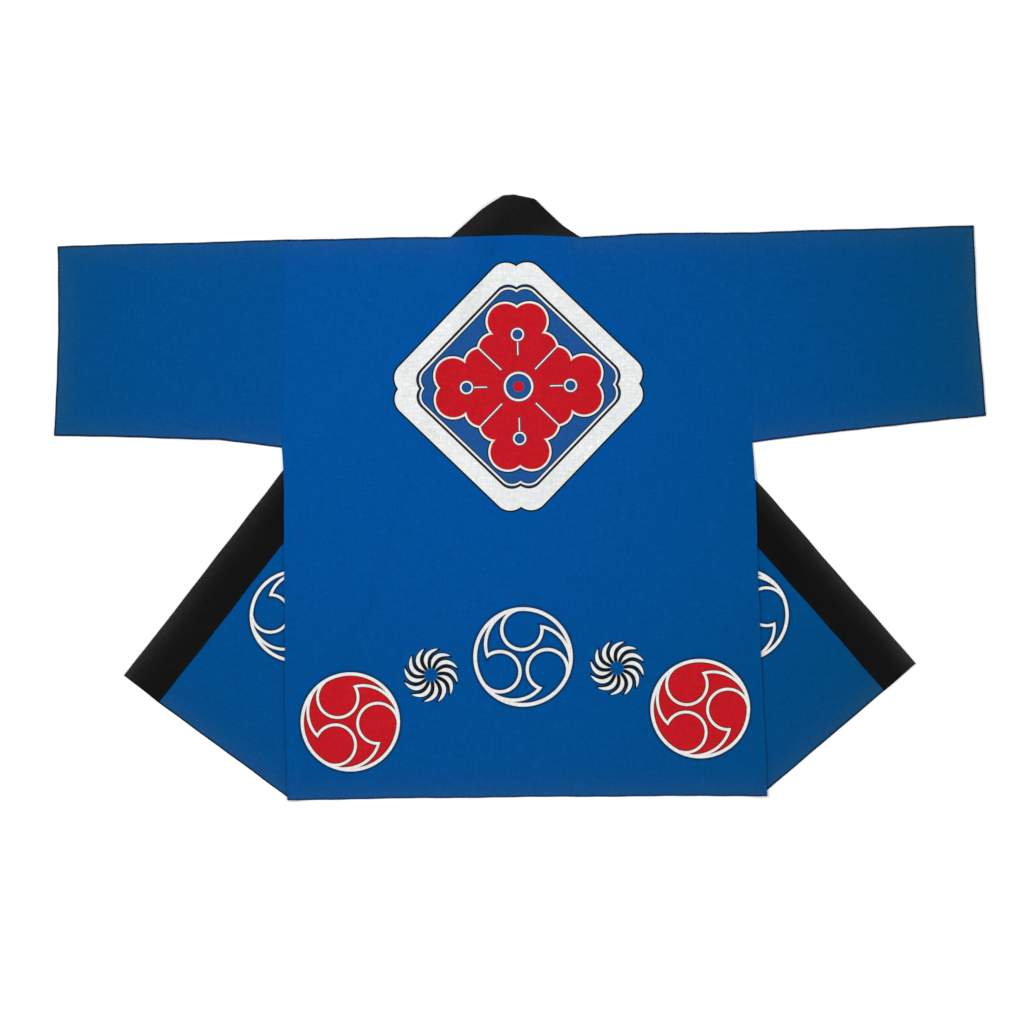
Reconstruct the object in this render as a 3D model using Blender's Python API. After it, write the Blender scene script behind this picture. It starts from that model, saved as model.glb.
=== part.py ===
"""Happi coat laid out flat with its back up and both fronts folded outwards under it.

Every panel is one flat piece of cloth with a wall of its own. The coat lies in three layers:
the turned flaps on the table, then the fronts and the lower sleeve walls, then the back and
the upper sleeve walls. A panel climbs over what lies under it and comes down again beside it.
All panels are cut from one triangulated sheet that has an edge along every outline, so that
the layers share their points and stay a constant distance apart.
"""

import math
from collections import namedtuple

import bpy
import numpy as np
from mathutils import Vector
from mathutils.geometry import delaunay_2d_cdt

MM = 0.001

# Driving sizes in millimetres
CLOTH = 1.0
BAND = 2.0
LAYER_GAP = 0.3
SEAM_GAP = 0.3
RAMP = 26.0
SPACING = 30.0
FOLD_STEPS = 4

# Layers counted from the table
FLAP, UNDER, TOP = 0, 1, 2

# Corners of the laid coat in millimetres, x to the right and y towards the collar
CORNER_TABLE = (
    # corner         left x   left y   right x  right y
    ("hem",          -330.7,  -430.9,  352.0,   -424.5),
    ("side_low",     -334.2,  -288.7,  342.3,   -217.6),
    ("side_high",    -335.9,    34.1,  334.4,     24.2),
    ("armpit",       -338.5,    70.4,  330.9,     78.5),
    ("shoulder_tip", -334.9,   366.5,  325.0,    377.3),
    ("shoulder_mid", -181.3,   369.8,  171.4,    375.5),
    ("neck",          -98.8,   370.5,   86.0,    370.5),
    ("cuff_top",     -657.8,   357.7,  645.0,    386.8),
    ("cuff_mid",     -656.3,   240.0,  649.2,    280.2),
    ("cuff_low",     -662.4,    88.2,  662.4,    115.9),
    ("sleeve_low",   -426.0,    81.8,  505.6,     99.6),
    ("fold_hem",     -325.0,  -430.8,  342.0,   -424.6),
    ("fold_neck",     -98.8,   239.4,   86.0,    215.9),
    ("fold_top",      -34.0,   410.0,   15.4,    392.7),
    ("flap_seam",    -513.9,  -288.4,  518.2,   -274.5),
    ("flap_tip",     -563.2,  -251.7,  563.2,   -236.1),
    ("flap_knee",    -200.0,   215.0,  250.0,    123.3),
    ("mitre_mid",     -56.2,   408.5,   50.0,    400.5),
    ("mitre_top",     -24.9,   429.5,   22.0,    423.8),
)
MIDDLE_TABLE = (
    # corner           x       y
    ("neck_middle",   -6.4,   373.5),
    ("collar_crown",  -8.0,   430.9),
)

# Broad swells where the upper layer stands off the one below
SWELL_TABLE = (
    #   x       y     turn    half length  half width  height
    (-110.0,  -40.0,   78.0,   190.0,        42.0,      0.9),
    (  40.0, -150.0,  -82.0,   210.0,        36.0,      0.8),
    ( 190.0,   60.0,   70.0,   170.0,        40.0,      0.9),
    (-235.0,  170.0,   60.0,   110.0,        34.0,      0.8),
    ( -60.0, -330.0,   20.0,   120.0,        36.0,      0.7),
    ( 215.0, -290.0,  -30.0,   110.0,        34.0,      0.7),
    (-500.0,  225.0,    8.0,   120.0,        46.0,      1.0),
    ( 480.0,  240.0,   12.0,   130.0,        48.0,      1.0),
)

INDIGO = (0.0013, 0.083, 0.315, 1.0)
BLACK = (0.010, 0.010, 0.010, 1.0)

Panel = namedtuple("Panel", "node layer thick names kinds")
Wall = namedtuple("Wall", "points normals thick faces")


def corner_points():
    """Return every named corner of the laid coat."""
    points = {}
    for name, left_x, left_y, right_x, right_y in CORNER_TABLE:
        points[name + "_l"] = np.array((left_x, left_y))
        points[name + "_r"] = np.array((right_x, right_y))
    for name, x, y in MIDDLE_TABLE:
        points[name] = np.array((x, y))
    return points


CORNERS = corner_points()


def panel(node, layer, thick, outline, tag=""):
    """Return a panel from its corners and the kind of edge that starts at each one."""
    names = [name + tag for name, kind in outline]
    kinds = [kind for name, kind in outline]
    return Panel(node, layer, thick, names, kinds)


def side_panels(side):
    """Return the panels of one side. Fold edges carry on into the next layer of the same piece."""
    tag = "_" + side[0]
    sleeve = [("armpit", "seam"), ("shoulder_tip", "fold"), ("cuff_top", "edge"), ("cuff_mid", "edge"),
              ("cuff_low", "fold"), ("sleeve_low", "fold")]
    turned_front = [("fold_hem", "fold"), ("fold_neck", "seam"), ("flap_seam", "edge")]
    laid_front = [("hem", "edge"), ("fold_hem", "fold"), ("fold_neck", "seam"), ("neck", "edge"),
                  ("shoulder_mid", "edge"), ("shoulder_tip", "seam"), ("armpit", "edge"),
                  ("side_high", "edge"), ("side_low", "edge")]
    turned_collar = [("flap_seam", "seam"), ("fold_neck", "fold"), ("fold_top", "edge"),
                     ("flap_knee", "edge"), ("flap_tip", "edge")]
    laid_collar = [("fold_neck", "seam"), ("neck", "fold"), ("mitre_mid", "fold"),
                   ("mitre_top", "edge"), ("fold_top", "fold")]
    return [
        panel("front_" + side, FLAP, CLOTH, turned_front, tag),
        panel("front_" + side, UNDER, CLOTH, laid_front, tag),
        panel("sleeve_" + side, UNDER, CLOTH, sleeve, tag),
        panel("sleeve_" + side, TOP, CLOTH, sleeve, tag),
        panel("collar", FLAP, BAND, turned_collar, tag),
        panel("collar", UNDER, BAND, laid_collar, tag),
    ]


def middle_panels():
    """Return the back and the stretch of the collar behind the neck."""
    back = [("hem_l", "edge"), ("fold_hem_l", "edge"), ("fold_hem_r", "edge"), ("hem_r", "edge"),
            ("side_low_r", "edge"), ("side_high_r", "edge"), ("armpit_r", "seam"),
            ("shoulder_tip_r", "edge"), ("shoulder_mid_r", "edge"), ("neck_r", "seam"),
            ("neck_middle", "seam"), ("neck_l", "edge"), ("shoulder_mid_l", "edge"),
            ("shoulder_tip_l", "seam"), ("armpit_l", "edge"), ("side_high_l", "edge"),
            ("side_low_l", "edge")]
    neck = [("neck_l", "seam"), ("neck_middle", "seam"), ("neck_r", "fold"), ("mitre_mid_r", "fold"),
            ("mitre_top_r", "edge"), ("collar_crown", "edge"), ("mitre_top_l", "fold"),
            ("mitre_mid_l", "fold")]
    return [panel("back", TOP, CLOTH, back), panel("collar", TOP, BAND, neck)]


def ring(piece):
    """Return the outline's corners as an array."""
    return np.array([CORNERS[name] for name in piece.names])


def edges_of(piece):
    """Return start name, end name and kind of each outline edge."""
    ends = piece.names[1:] + piece.names[:1]
    return list(zip(piece.names, ends, piece.kinds))


def turn_sign(corners):
    """Return 1 where the corners run anticlockwise and -1 where they run clockwise."""
    following = np.roll(corners, -1, axis=0)
    area = np.sum(corners[:, 0] * following[:, 1] - corners[:, 1] * following[:, 0])
    return math.copysign(1.0, area)


def unit(vector):
    return vector / np.linalg.norm(vector)


def inward(piece, start, end):
    """Return the direction that points into the panel, square to one of its edges."""
    along = unit(CORNERS[end] - CORNERS[start])
    return turn_sign(ring(piece)) * np.array((-along[1], along[0]))


def is_inside(points, corners):
    """Count the edges that a ray to the right crosses. An odd count is inside."""
    x, y = points[:, 0, None], points[:, 1, None]
    following = np.roll(corners, -1, axis=0)
    rise = following[:, 1] - corners[:, 1]
    rise = np.where(rise == 0.0, 1e-9, rise)
    crossing = corners[:, 0] + (y - corners[:, 1]) / rise * (following[:, 0] - corners[:, 0])
    spans = (corners[:, 1] > y) != (following[:, 1] > y)
    return np.sum(spans & (x < crossing), axis=1) % 2 == 1


def edge_distance(points, starts, ends):
    """Return each point's distance to the nearest of the edges."""
    along = ends - starts
    reach = points[:, None] - starts
    share = np.clip(np.sum(reach * along, -1) / np.sum(along * along, -1), 0.0, 1.0)
    return np.linalg.norm(reach - share[..., None] * along, axis=-1).min(axis=1)


def cover(points, piece, ramp):
    """Return 1 over a panel, falling as a cosine to 0 at the ramp's length outside it."""
    corners = ring(piece)
    away = edge_distance(points, corners, np.roll(corners, -1, axis=0))
    away = np.where(is_inside(points, corners), 0.0, away)
    return 0.5 + 0.5 * np.cos(math.pi * np.clip(away / ramp, 0.0, 1.0))


def swell(points):
    """Return how far the upper layer stands off, the highest of the broad swells."""
    height = np.zeros(len(points))
    for x, y, turn, length, width, top in SWELL_TABLE:
        angle = math.radians(turn)
        reach = points - np.array((x, y))
        along = (reach[:, 0] * math.cos(angle) + reach[:, 1] * math.sin(angle)) / length
        across = (reach[:, 1] * math.cos(angle) - reach[:, 0] * math.sin(angle)) / width
        away = np.clip(np.hypot(along, across), 0.0, 1.0)
        height = np.maximum(height, top * np.cos(0.5 * math.pi * away) ** 2)
    return height


def layer_floors(points, panels):
    """Return the height of each layer's underside over every point of the sheet."""
    floors = [np.zeros(len(points))]
    for layer in (FLAP, UNDER):
        below = [cover(points, piece, RAMP) * (piece.thick + LAYER_GAP)
                 for piece in panels if piece.layer == layer]
        floors.append(floors[-1] + np.max(below, axis=0))
    floors[TOP] = floors[TOP] + swell(points)
    return floors


def split_edge(start, end):
    """Return points along an edge, no further apart than the spacing."""
    steps = max(1, math.ceil(np.linalg.norm(end - start) / SPACING))
    share = np.linspace(0.0, 1.0, steps + 1)[:, None]
    return start + (end - start) * share


def fill_points(panels, taken):
    """Return points inside the panels: lines beside the lower outlines first, then rows."""
    starts = np.concatenate([ring(piece) for piece in panels])
    ends = np.concatenate([np.roll(ring(piece), -1, axis=0) for piece in panels])
    wanted = []
    for piece in panels:
        if piece.layer == TOP:
            continue
        for start, end, kind in edges_of(piece):
            outward = -inward(piece, start, end)
            line = split_edge(CORNERS[start], CORNERS[end])
            wanted.extend(line + outward * RAMP)
            wanted.extend(line + outward * RAMP * 0.5)
    low, high = starts.min(axis=0), starts.max(axis=0)
    row_step = SPACING * math.sqrt(0.75)
    for row, y in enumerate(np.arange(low[1], high[1], row_step)):
        shift = 0.5 * SPACING * (row % 2)
        wanted.extend(np.array((x + shift, y)) for x in np.arange(low[0], high[0], SPACING))
    wanted = np.array(wanted)
    inside = np.any([is_inside(wanted, ring(piece)) for piece in panels], axis=0)
    wanted = wanted[inside & (edge_distance(wanted, starts, ends) > 0.38 * SPACING)]
    kept = [np.array(point) for point in taken]
    fill = []
    for point in wanted:
        if np.linalg.norm(np.array(kept) - point, axis=1).min() > 0.62 * SPACING:
            kept.append(point)
            fill.append(point)
    return fill


def cut_sheet(panels):
    """Triangulate the laid coat once, with an edge along every outline of every layer."""
    index, places, links = {}, [], set()
    for piece in panels:
        for start, end, kind in edges_of(piece):
            line = []
            for point in split_edge(CORNERS[start], CORNERS[end]):
                key = tuple(np.round(point, 2))
                if key not in index:
                    index[key] = len(places)
                    places.append(point)
                line.append(index[key])
            links.update(tuple(sorted(pair)) for pair in zip(line, line[1:]))
    places.extend(fill_points(panels, places))
    found, _, triangles, *_ = delaunay_2d_cdt([Vector(place) for place in places], sorted(links), [], 0, 0.02)
    return np.array([tuple(place) for place in found]), np.array(triangles)


def chain(sheet, start, end):
    """Return the sheet's points on an edge, in order from its start to its end."""
    first, along = CORNERS[start], CORNERS[end] - CORNERS[start]
    length = np.linalg.norm(along)
    reach = sheet - first
    share = reach @ along / length ** 2
    offset = np.abs(reach[:, 0] * along[1] - reach[:, 1] * along[0]) / length
    on_edge = np.flatnonzero((offset < 0.05) & (share > -1e-4) & (share < 1.0 + 1e-4))
    return on_edge[np.argsort(share[on_edge])]


def fold_partner(panels, piece, start, end):
    """Return the panel of the same piece that a fold edge carries on into."""
    for other in panels:
        joined = {start, end} <= set(other.names) and abs(other.layer - piece.layer) == 1
        if other.node == piece.node and joined and any(
                {a, b} == {start, end} and kind == "fold" for a, b, kind in edges_of(other)):
            return other
    raise ValueError("no partner for fold " + start + " " + end)


def fold_radius(piece, other, floors, points):
    """Return half the height between the middles of two layers."""
    upper = floors[other.layer][points] + 0.5 * other.thick
    lower = floors[piece.layer][points] + 0.5 * piece.thick
    return 0.5 * np.abs(upper - lower)


def end_trim(piece, corner, start, end, inset):
    """Return how far a fold stops short of a corner, to clear the panel's other edge there."""
    place = piece.names.index(corner)
    before = piece.names[place - 1]
    after = piece.names[(place + 1) % len(piece.names)]
    far = start if corner == end else end
    other = before if after == far else after
    kind = piece.kinds[place - 1] if other == before else piece.kinds[place]
    if kind == "fold":
        return 0.0
    along = unit(CORNERS[far] - CORNERS[corner])
    aside = unit(CORNERS[other] - CORNERS[corner])
    cosine = float(along @ aside)
    sine = math.sqrt(1.0 - cosine * cosine)
    if cosine < -0.85:
        return 0.0
    return max(0.0, (inset * cosine + (0.5 * SEAM_GAP if kind == "seam" else 0.0)) / sine)


def panel_places(piece, panels, sheet, floors):
    """Return where the panel's outline points lie after its seam gaps and fold bends are taken off."""
    pushes = {}
    for start, end, kind in edges_of(piece):
        points = chain(sheet, start, end)
        direction = inward(piece, start, end)
        if kind == "fold":
            other = fold_partner(panels, piece, start, end)
            insets = fold_radius(piece, other, floors, points) + 0.5 * piece.thick
        else:
            insets = np.full(len(points), 0.5 * SEAM_GAP if kind == "seam" else 0.0)
        for point, inset in zip(points, insets):
            pushes.setdefault(point, []).append((direction, inset, kind, start, end))
    places = {}
    for point, rules in pushes.items():
        moved = sheet[point].copy()
        folds = [rule for rule in rules if rule[2] == "fold"]
        if len(rules) == 1:
            moved += rules[0][0] * rules[0][1]
        elif len(folds) == 1:
            direction, inset, kind, start, end = folds[0]
            corner = start if np.allclose(CORNERS[start], sheet[point], atol=0.05) else end
            far = end if corner == start else start
            other = fold_partner(panels, piece, start, end)
            trim = max(end_trim(side, corner, start, end, inset) for side in (piece, other))
            moved += direction * inset + unit(CORNERS[far] - CORNERS[corner]) * trim
        else:
            normals = np.array([rule[0] for rule in rules])
            insets = np.array([rule[1] for rule in rules])
            if abs(np.linalg.det(normals)) > 0.3:
                moved += np.linalg.solve(normals, insets)
            else:
                moved += unit(normals.sum(axis=0)) * insets.mean()
        places[point] = moved
    return places


def side_up(layer):
    """Return 1 where the piece's inner side faces up and -1 where it faces the table."""
    return 1.0 if layer == UNDER else -1.0


def piece_wall(node, panels, sheet, triangles, floors):
    """Join a piece's panels by bends along its folds, as a middle surface with its normals."""
    index, points, normals, thick, faces = {}, [], [], [], []
    middles = sheet[triangles].mean(axis=1)
    own = [piece for piece in panels if piece.node == node]
    for piece in own:
        places = panel_places(piece, panels, sheet, floors)
        for triangle in triangles[is_inside(middles, ring(piece))]:
            for point in triangle:
                if (piece.layer, point, piece.names[0]) in index:
                    continue
                index[piece.layer, point, piece.names[0]] = len(points)
                x, y = places.get(point, sheet[point])
                points.append((x, y, floors[piece.layer][point] + 0.5 * piece.thick))
                normals.append((0.0, 0.0, side_up(piece.layer)))
                thick.append(piece.thick)
            faces.append([index[piece.layer, point, piece.names[0]] for point in triangle])
    for lower in own:
        for start, end, kind in edges_of(lower):
            if kind != "fold":
                continue
            upper = fold_partner(panels, lower, start, end)
            if upper.layer < lower.layer:
                continue
            out = -inward(lower, start, end)
            columns = []
            for point in chain(sheet, start, end):
                first = index[lower.layer, point, lower.names[0]]
                last = index[upper.layer, point, upper.names[0]]
                column = [first]
                low, high = np.array(points[first]), np.array(points[last])
                radius = 0.5 * (high[2] - low[2])
                for step in range(1, FOLD_STEPS):
                    key = (point, step, lower.layer)
                    angle = math.pi * step / FOLD_STEPS
                    if key not in index:
                        index[key] = len(points)
                        bend = 0.5 * (low + high)
                        bend[:2] += out * radius * math.sin(angle)
                        bend[2] -= radius * math.cos(angle)
                        around = np.array((*(out * math.sin(angle)), -math.cos(angle)))
                        points.append(tuple(bend))
                        normals.append(tuple(-side_up(lower.layer) * around))
                        thick.append(lower.thick)
                    column.append(index[key])
                column.append(last)
                columns.append(column)
            for left, right in zip(columns, columns[1:]):
                faces.extend([a, b, d, c] for a, b, c, d in zip(left, right, left[1:], right[1:]))
    return Wall(np.array(points), np.array(normals), np.array(thick), faces)


def facing(wall):
    """Turn each face so that its corners run anticlockwise seen along its normals."""
    turned = []
    for face in wall.faces:
        a, b, c = (wall.points[corner] for corner in face[:3])
        agrees = np.cross(b - a, c - a) @ wall.normals[list(face)].sum(axis=0) > 0.0
        turned.append(list(face) if agrees else list(reversed(face)))
    return turned


def thicken(wall):
    """Give the middle surface its thickness and close it along its open edges."""
    faces = facing(wall)
    count = len(wall.points)
    half = wall.normals * wall.thick[:, None] * 0.5
    points = np.concatenate([wall.points + half, wall.points - half])
    closed = list(faces)
    closed.extend([corner + count for corner in reversed(face)] for face in faces)
    borders = {(a, b) for face in faces for a, b in zip(face, face[1:] + face[:1])}
    for a, b in sorted(borders):
        if (b, a) not in borders:
            closed.append([b, a, a + count, b + count])
    return points, closed


def material(name, color, roughness):
    """Return a cloth finish."""
    finish = bpy.data.materials.new(name)
    finish.use_nodes = True
    shader = finish.node_tree.nodes["Principled BSDF"]
    shader.inputs["Base Color"].default_value = color
    shader.inputs["Roughness"].default_value = roughness
    shader.inputs["Metallic"].default_value = 0.0
    return finish


def build_piece(node, panels, sheet, triangles, floors, finish):
    """Make one sewn piece as a closed solid."""
    points, faces = thicken(piece_wall(node, panels, sheet, triangles, floors))
    mesh = bpy.data.meshes.new(node)
    mesh.from_pydata((points * MM).tolist(), [], faces)
    mesh.materials.append(finish)
    mesh.shade_smooth()
    mesh.set_sharp_from_angle(angle=math.radians(40.0))
    piece = bpy.data.objects.new(node, mesh)
    bpy.context.scene.collection.objects.link(piece)


def main():
    for old in list(bpy.data.objects):
        bpy.data.objects.remove(old, do_unlink=True)
    panels = side_panels("left") + side_panels("right") + middle_panels()
    sheet, triangles = cut_sheet(panels)
    floors = layer_floors(sheet, panels)
    cotton = material("indigo_cotton", INDIGO, 0.9)
    band = material("collar_cotton", BLACK, 0.85)
    for node in sorted({piece.node for piece in panels}):
        build_piece(node, panels, sheet, triangles, floors, band if node == "collar" else cotton)


main()
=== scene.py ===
import math
from collections import namedtuple

import bmesh
import bpy
import numpy as np
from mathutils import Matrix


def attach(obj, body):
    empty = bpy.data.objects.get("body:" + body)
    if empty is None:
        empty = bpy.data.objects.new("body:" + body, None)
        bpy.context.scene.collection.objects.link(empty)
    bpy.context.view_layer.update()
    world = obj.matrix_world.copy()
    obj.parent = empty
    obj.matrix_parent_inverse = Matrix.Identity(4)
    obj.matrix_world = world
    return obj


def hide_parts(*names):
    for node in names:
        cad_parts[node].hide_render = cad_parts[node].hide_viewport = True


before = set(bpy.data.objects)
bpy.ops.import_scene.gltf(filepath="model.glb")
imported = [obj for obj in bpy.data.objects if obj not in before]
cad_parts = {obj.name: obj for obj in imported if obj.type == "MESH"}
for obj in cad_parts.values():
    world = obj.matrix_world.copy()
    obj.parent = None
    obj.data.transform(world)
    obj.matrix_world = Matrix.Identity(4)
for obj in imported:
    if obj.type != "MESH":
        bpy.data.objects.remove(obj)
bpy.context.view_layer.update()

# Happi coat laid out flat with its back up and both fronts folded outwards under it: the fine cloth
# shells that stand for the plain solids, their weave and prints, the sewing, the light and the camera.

MM = 0.001
BODY = "root"

# Cloth in millimetres. The solids' walls and gaps set the heights, and each shell lies inside its wall
CLOTH = 1.0
BAND = 2.0
LAYER_GAP = 0.3
LIFT = 0.06
RAMP = 26.0
SHELL = {CLOTH: 0.72, BAND: 1.84}
HEM_SHELL = 0.96
SEAM_GAP = 0.03
BAND_WIDTH = 61.0

# How far in from an open edge and from a seam the shell is rounded, and how much of the quarter circle
# is used, so that an edge keeps some thickness
ROUND = {CLOTH: 0.55, BAND: 1.0}
SEAM_ROUND = 0.22
ROUND_SHARE = 0.97

# Turned hems and cuffs, the groove along their stitches and the step beside it
HEM_DEPTH = 31.0
CUFF_DEPTH = 34.0
GROOVE = 0.05
GROOVE_WIDTH = 0.7
HEM_STEP = 2.4

# Grid lines: their distance, and the closer ones in from an edge and beside a row of stitches
STEP = 4.4
EDGE_LINES = np.array((0.04, 0.16, 0.34, 0.55, 1.0, 2.0))
SEWN_LINES = np.array((-2.6, -1.3, -0.5, 0.0, 0.5, 1.3, 2.6))
FOLD_STEPS = 10

# Slightly wavy edges as height, length and start of two waves each way, and the bow of the back's hem
WAVES_ASIDE = ((0.16, 8.7, 1.0), (0.30, 27.0, 2.0))
WAVES_UPWARD = ((0.16, 7.9, 0.0), (0.32, 31.0, 0.7))
HEM_BOW = 1.6
BOW_HALF_WIDTH = 345.0
BOW_TOP = -300.0
BOW_FADE = 130.0

# Stands for the distance to an edge that a panel doesn't have
FAR_OFF = 900.0

# Layers counted from the floor
FLAP, UNDER, TOP = 0, 1, 2

# Corners of the laid coat in millimetres, x to the right and y towards the collar
CORNER_TABLE = (
    # corner         left x   left y   right x  right y
    ("hem",          -330.7,  -430.9,  352.0,   -424.5),
    ("side_low",     -334.2,  -288.7,  342.3,   -217.6),
    ("side_high",    -335.9,    34.1,  334.4,     24.2),
    ("armpit",       -338.5,    70.4,  330.9,     78.5),
    ("shoulder_tip", -334.9,   366.5,  325.0,    377.3),
    ("shoulder_mid", -181.3,   369.8,  171.4,    375.5),
    ("neck",          -98.8,   370.5,   86.0,    370.5),
    ("cuff_top",     -657.8,   357.7,  645.0,    386.8),
    ("cuff_mid",     -656.3,   240.0,  649.2,    280.2),
    ("cuff_low",     -662.4,    88.2,  662.4,    115.9),
    ("sleeve_low",   -426.0,    81.8,  505.6,     99.6),
    ("fold_hem",     -325.0,  -430.8,  342.0,   -424.6),
    ("fold_neck",     -98.8,   239.4,   86.0,    215.9),
    ("fold_top",      -34.0,   410.0,   15.4,    392.7),
    ("flap_seam",    -513.9,  -291.6,  518.2,   -274.5),
    ("flap_tip",     -563.2,  -253.2,  563.2,   -236.1),
    ("flap_knee",    -200.0,   215.0,  250.0,    123.3),
    ("mitre_mid",     -56.2,   408.5,   60.5,    386.5),
    ("mitre_top",     -24.9,   429.5,   22.0,    423.8),
)
MIDDLE_TABLE = (
    # corner           x       y
    ("neck_middle",   -6.4,   373.5),
    ("collar_crown",  -8.0,   430.9),
)

# Broad swells where the upper layer stands off the one below
SWELL_TABLE = (
    #   x       y     turn    half length  half width  height
    (-110.0,  -40.0,   78.0,   190.0,        42.0,      0.9),
    (  40.0, -150.0,  -82.0,   210.0,        36.0,      0.8),
    ( 190.0,   60.0,   70.0,   170.0,        40.0,      0.9),
    (-235.0,  170.0,   60.0,   110.0,        34.0,      0.8),
    ( -60.0, -330.0,   20.0,   120.0,        36.0,      0.7),
    ( 215.0, -290.0,  -30.0,   110.0,        34.0,      0.7),
    (-500.0,  225.0,    8.0,   120.0,        46.0,      1.0),
    ( 480.0,  240.0,   12.0,   130.0,        48.0,      1.0),
)

# Soft creases, ridges above zero and troughs below it, each on the layer that it starts in
CREASE_TABLE = (
    # layer   x       y     turn    half length  half width  height
    (TOP,   -285.0,  300.0,  -58.0,    85.0,        13.0,      0.34),
    (TOP,   -262.0,  120.0,   41.0,    92.0,        15.0,     -0.22),
    (TOP,   -215.0,  -95.0,   83.0,   130.0,        17.0,      0.30),
    (TOP,    -40.0,  -95.0,   96.0,   118.0,        15.0,     -0.20),
    (TOP,    118.0,  -60.0,   76.0,   150.0,        16.0,      0.32),
    (TOP,    250.0,  150.0,  -48.0,    96.0,        14.0,     -0.22),
    (TOP,    282.0,  310.0,   52.0,    78.0,        12.0,      0.32),
    (TOP,    296.0, -120.0,   88.0,   120.0,        15.0,      0.26),
    (TOP,    -20.0, -372.0,    6.0,   150.0,        14.0,     -0.20),
    (TOP,   -190.0, -250.0,   64.0,    88.0,        13.0,      0.28),
    (TOP,   -452.0,  300.0,    6.0,   120.0,        14.0,      0.36),
    (TOP,   -560.0,  150.0,  -14.0,    84.0,        13.0,     -0.22),
    (TOP,   -405.0,  150.0,   32.0,    70.0,        12.0,      0.30),
    (TOP,    430.0,  320.0,   10.0,   110.0,        14.0,      0.34),
    (TOP,    560.0,  180.0,  -20.0,    92.0,        14.0,     -0.22),
    (TOP,    400.0,  165.0,  -36.0,    74.0,        12.0,      0.30),
    (FLAP,  -420.0, -250.0,   52.0,    96.0,        16.0,      0.50),
    (FLAP,  -372.0, -118.0,   50.0,    70.0,        13.0,      0.36),
    (FLAP,  -368.0, -330.0,  -36.0,    52.0,        11.0,      0.32),
    (FLAP,   430.0, -232.0,  -46.0,    98.0,        16.0,      0.50),
    (FLAP,   388.0, -110.0,  -49.0,    66.0,        13.0,      0.36),
    (FLAP,   392.0, -320.0,   38.0,    54.0,        11.0,      0.32),
)

# Colours are linear, and what the light adds is taken off them
BLUE = (0.0, 0.0672, 0.2840, 1.0)
# Dull blue is also the far end of the painted light falloff
DULL_BLUE = (0.0, 0.0520, 0.1450, 1.0)
FADED_BLUE = (0.080, 0.120, 0.190, 1.0)
SCREEN_BLUE = (0.0185, 0.0735, 0.2280, 1.0)
# Navy outlines the prints and is also the painted shadow line along the outline
NAVY = (0.0040, 0.0090, 0.0200, 1.0)
CREAM = (0.6650, 0.6830, 0.6820, 1.0)
WARM_EDGE = (0.6200, 0.5700, 0.4400, 1.0)
RED = (0.4520, 0.0078, 0.0144, 1.0)
DARK_RED = (0.0900, 0.0080, 0.0080, 1.0)
BLACK = (0.0043, 0.0043, 0.0044, 1.0)
# Greyer black for the band's painted sheen towards its ends and its random patches
SHEEN_AND_WORN_BLACK = (0.0100, 0.0095, 0.0099, 1.0)
THREAD_BLUE = (0.0, 0.0600, 0.2350, 1.0)
THREAD_BLACK = (0.0060, 0.0060, 0.0062, 1.0)
FLOOR_WHITE = (0.93, 0.93, 0.925, 1.0)

Panel = namedtuple("Panel", "node layer thick names kinds")
Sheet = namedtuple("Sheet", "points outward half flat lines quads")


def corner_points():
    """Return every named corner of the laid coat."""
    points = {}
    for name, left_x, left_y, right_x, right_y in CORNER_TABLE:
        points[name + "_l"] = np.array((left_x, left_y))
        points[name + "_r"] = np.array((right_x, right_y))
    for name, x, y in MIDDLE_TABLE:
        points[name] = np.array((x, y))
    return points


CORNERS = corner_points()


def panel(node, layer, thick, outline, tag=""):
    """Return a panel from its corners and the kind of edge that starts at each one."""
    names = [name + tag for name, kind in outline]
    kinds = [kind for name, kind in outline]
    return Panel(node, layer, thick, names, kinds)


def side_panels(side):
    """Return the panels of one side, by name."""
    tag = "_" + side[0]
    sleeve = [("armpit", "seam"), ("shoulder_tip", "fold"), ("cuff_top", "edge"), ("cuff_mid", "edge"),
              ("cuff_low", "fold"), ("sleeve_low", "fold")]
    turned_front = [("fold_hem", "fold"), ("fold_neck", "seam"), ("flap_seam", "edge")]
    laid_front = [("hem", "edge"), ("fold_hem", "fold"), ("fold_neck", "seam"), ("neck", "edge"),
                  ("shoulder_mid", "edge"), ("shoulder_tip", "seam"), ("armpit", "edge"),
                  ("side_high", "edge"), ("side_low", "edge")]
    turned_collar = [("flap_seam", "seam"), ("fold_neck", "fold"), ("fold_top", "edge"),
                     ("flap_knee", "edge"), ("flap_tip", "edge")]
    laid_collar = [("fold_neck", "seam"), ("neck", "fold"), ("mitre_mid", "fold"),
                   ("mitre_top", "edge"), ("fold_top", "fold")]
    return {
        "turned_front" + tag: panel("front_" + side, FLAP, CLOTH, turned_front, tag),
        "laid_front" + tag: panel("front_" + side, UNDER, CLOTH, laid_front, tag),
        "sleeve_under" + tag: panel("sleeve_" + side, UNDER, CLOTH, sleeve, tag),
        "sleeve_top" + tag: panel("sleeve_" + side, TOP, CLOTH, sleeve, tag),
        "turned_collar" + tag: panel("collar", FLAP, BAND, turned_collar, tag),
        "laid_collar" + tag: panel("collar", UNDER, BAND, laid_collar, tag),
    }


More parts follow.
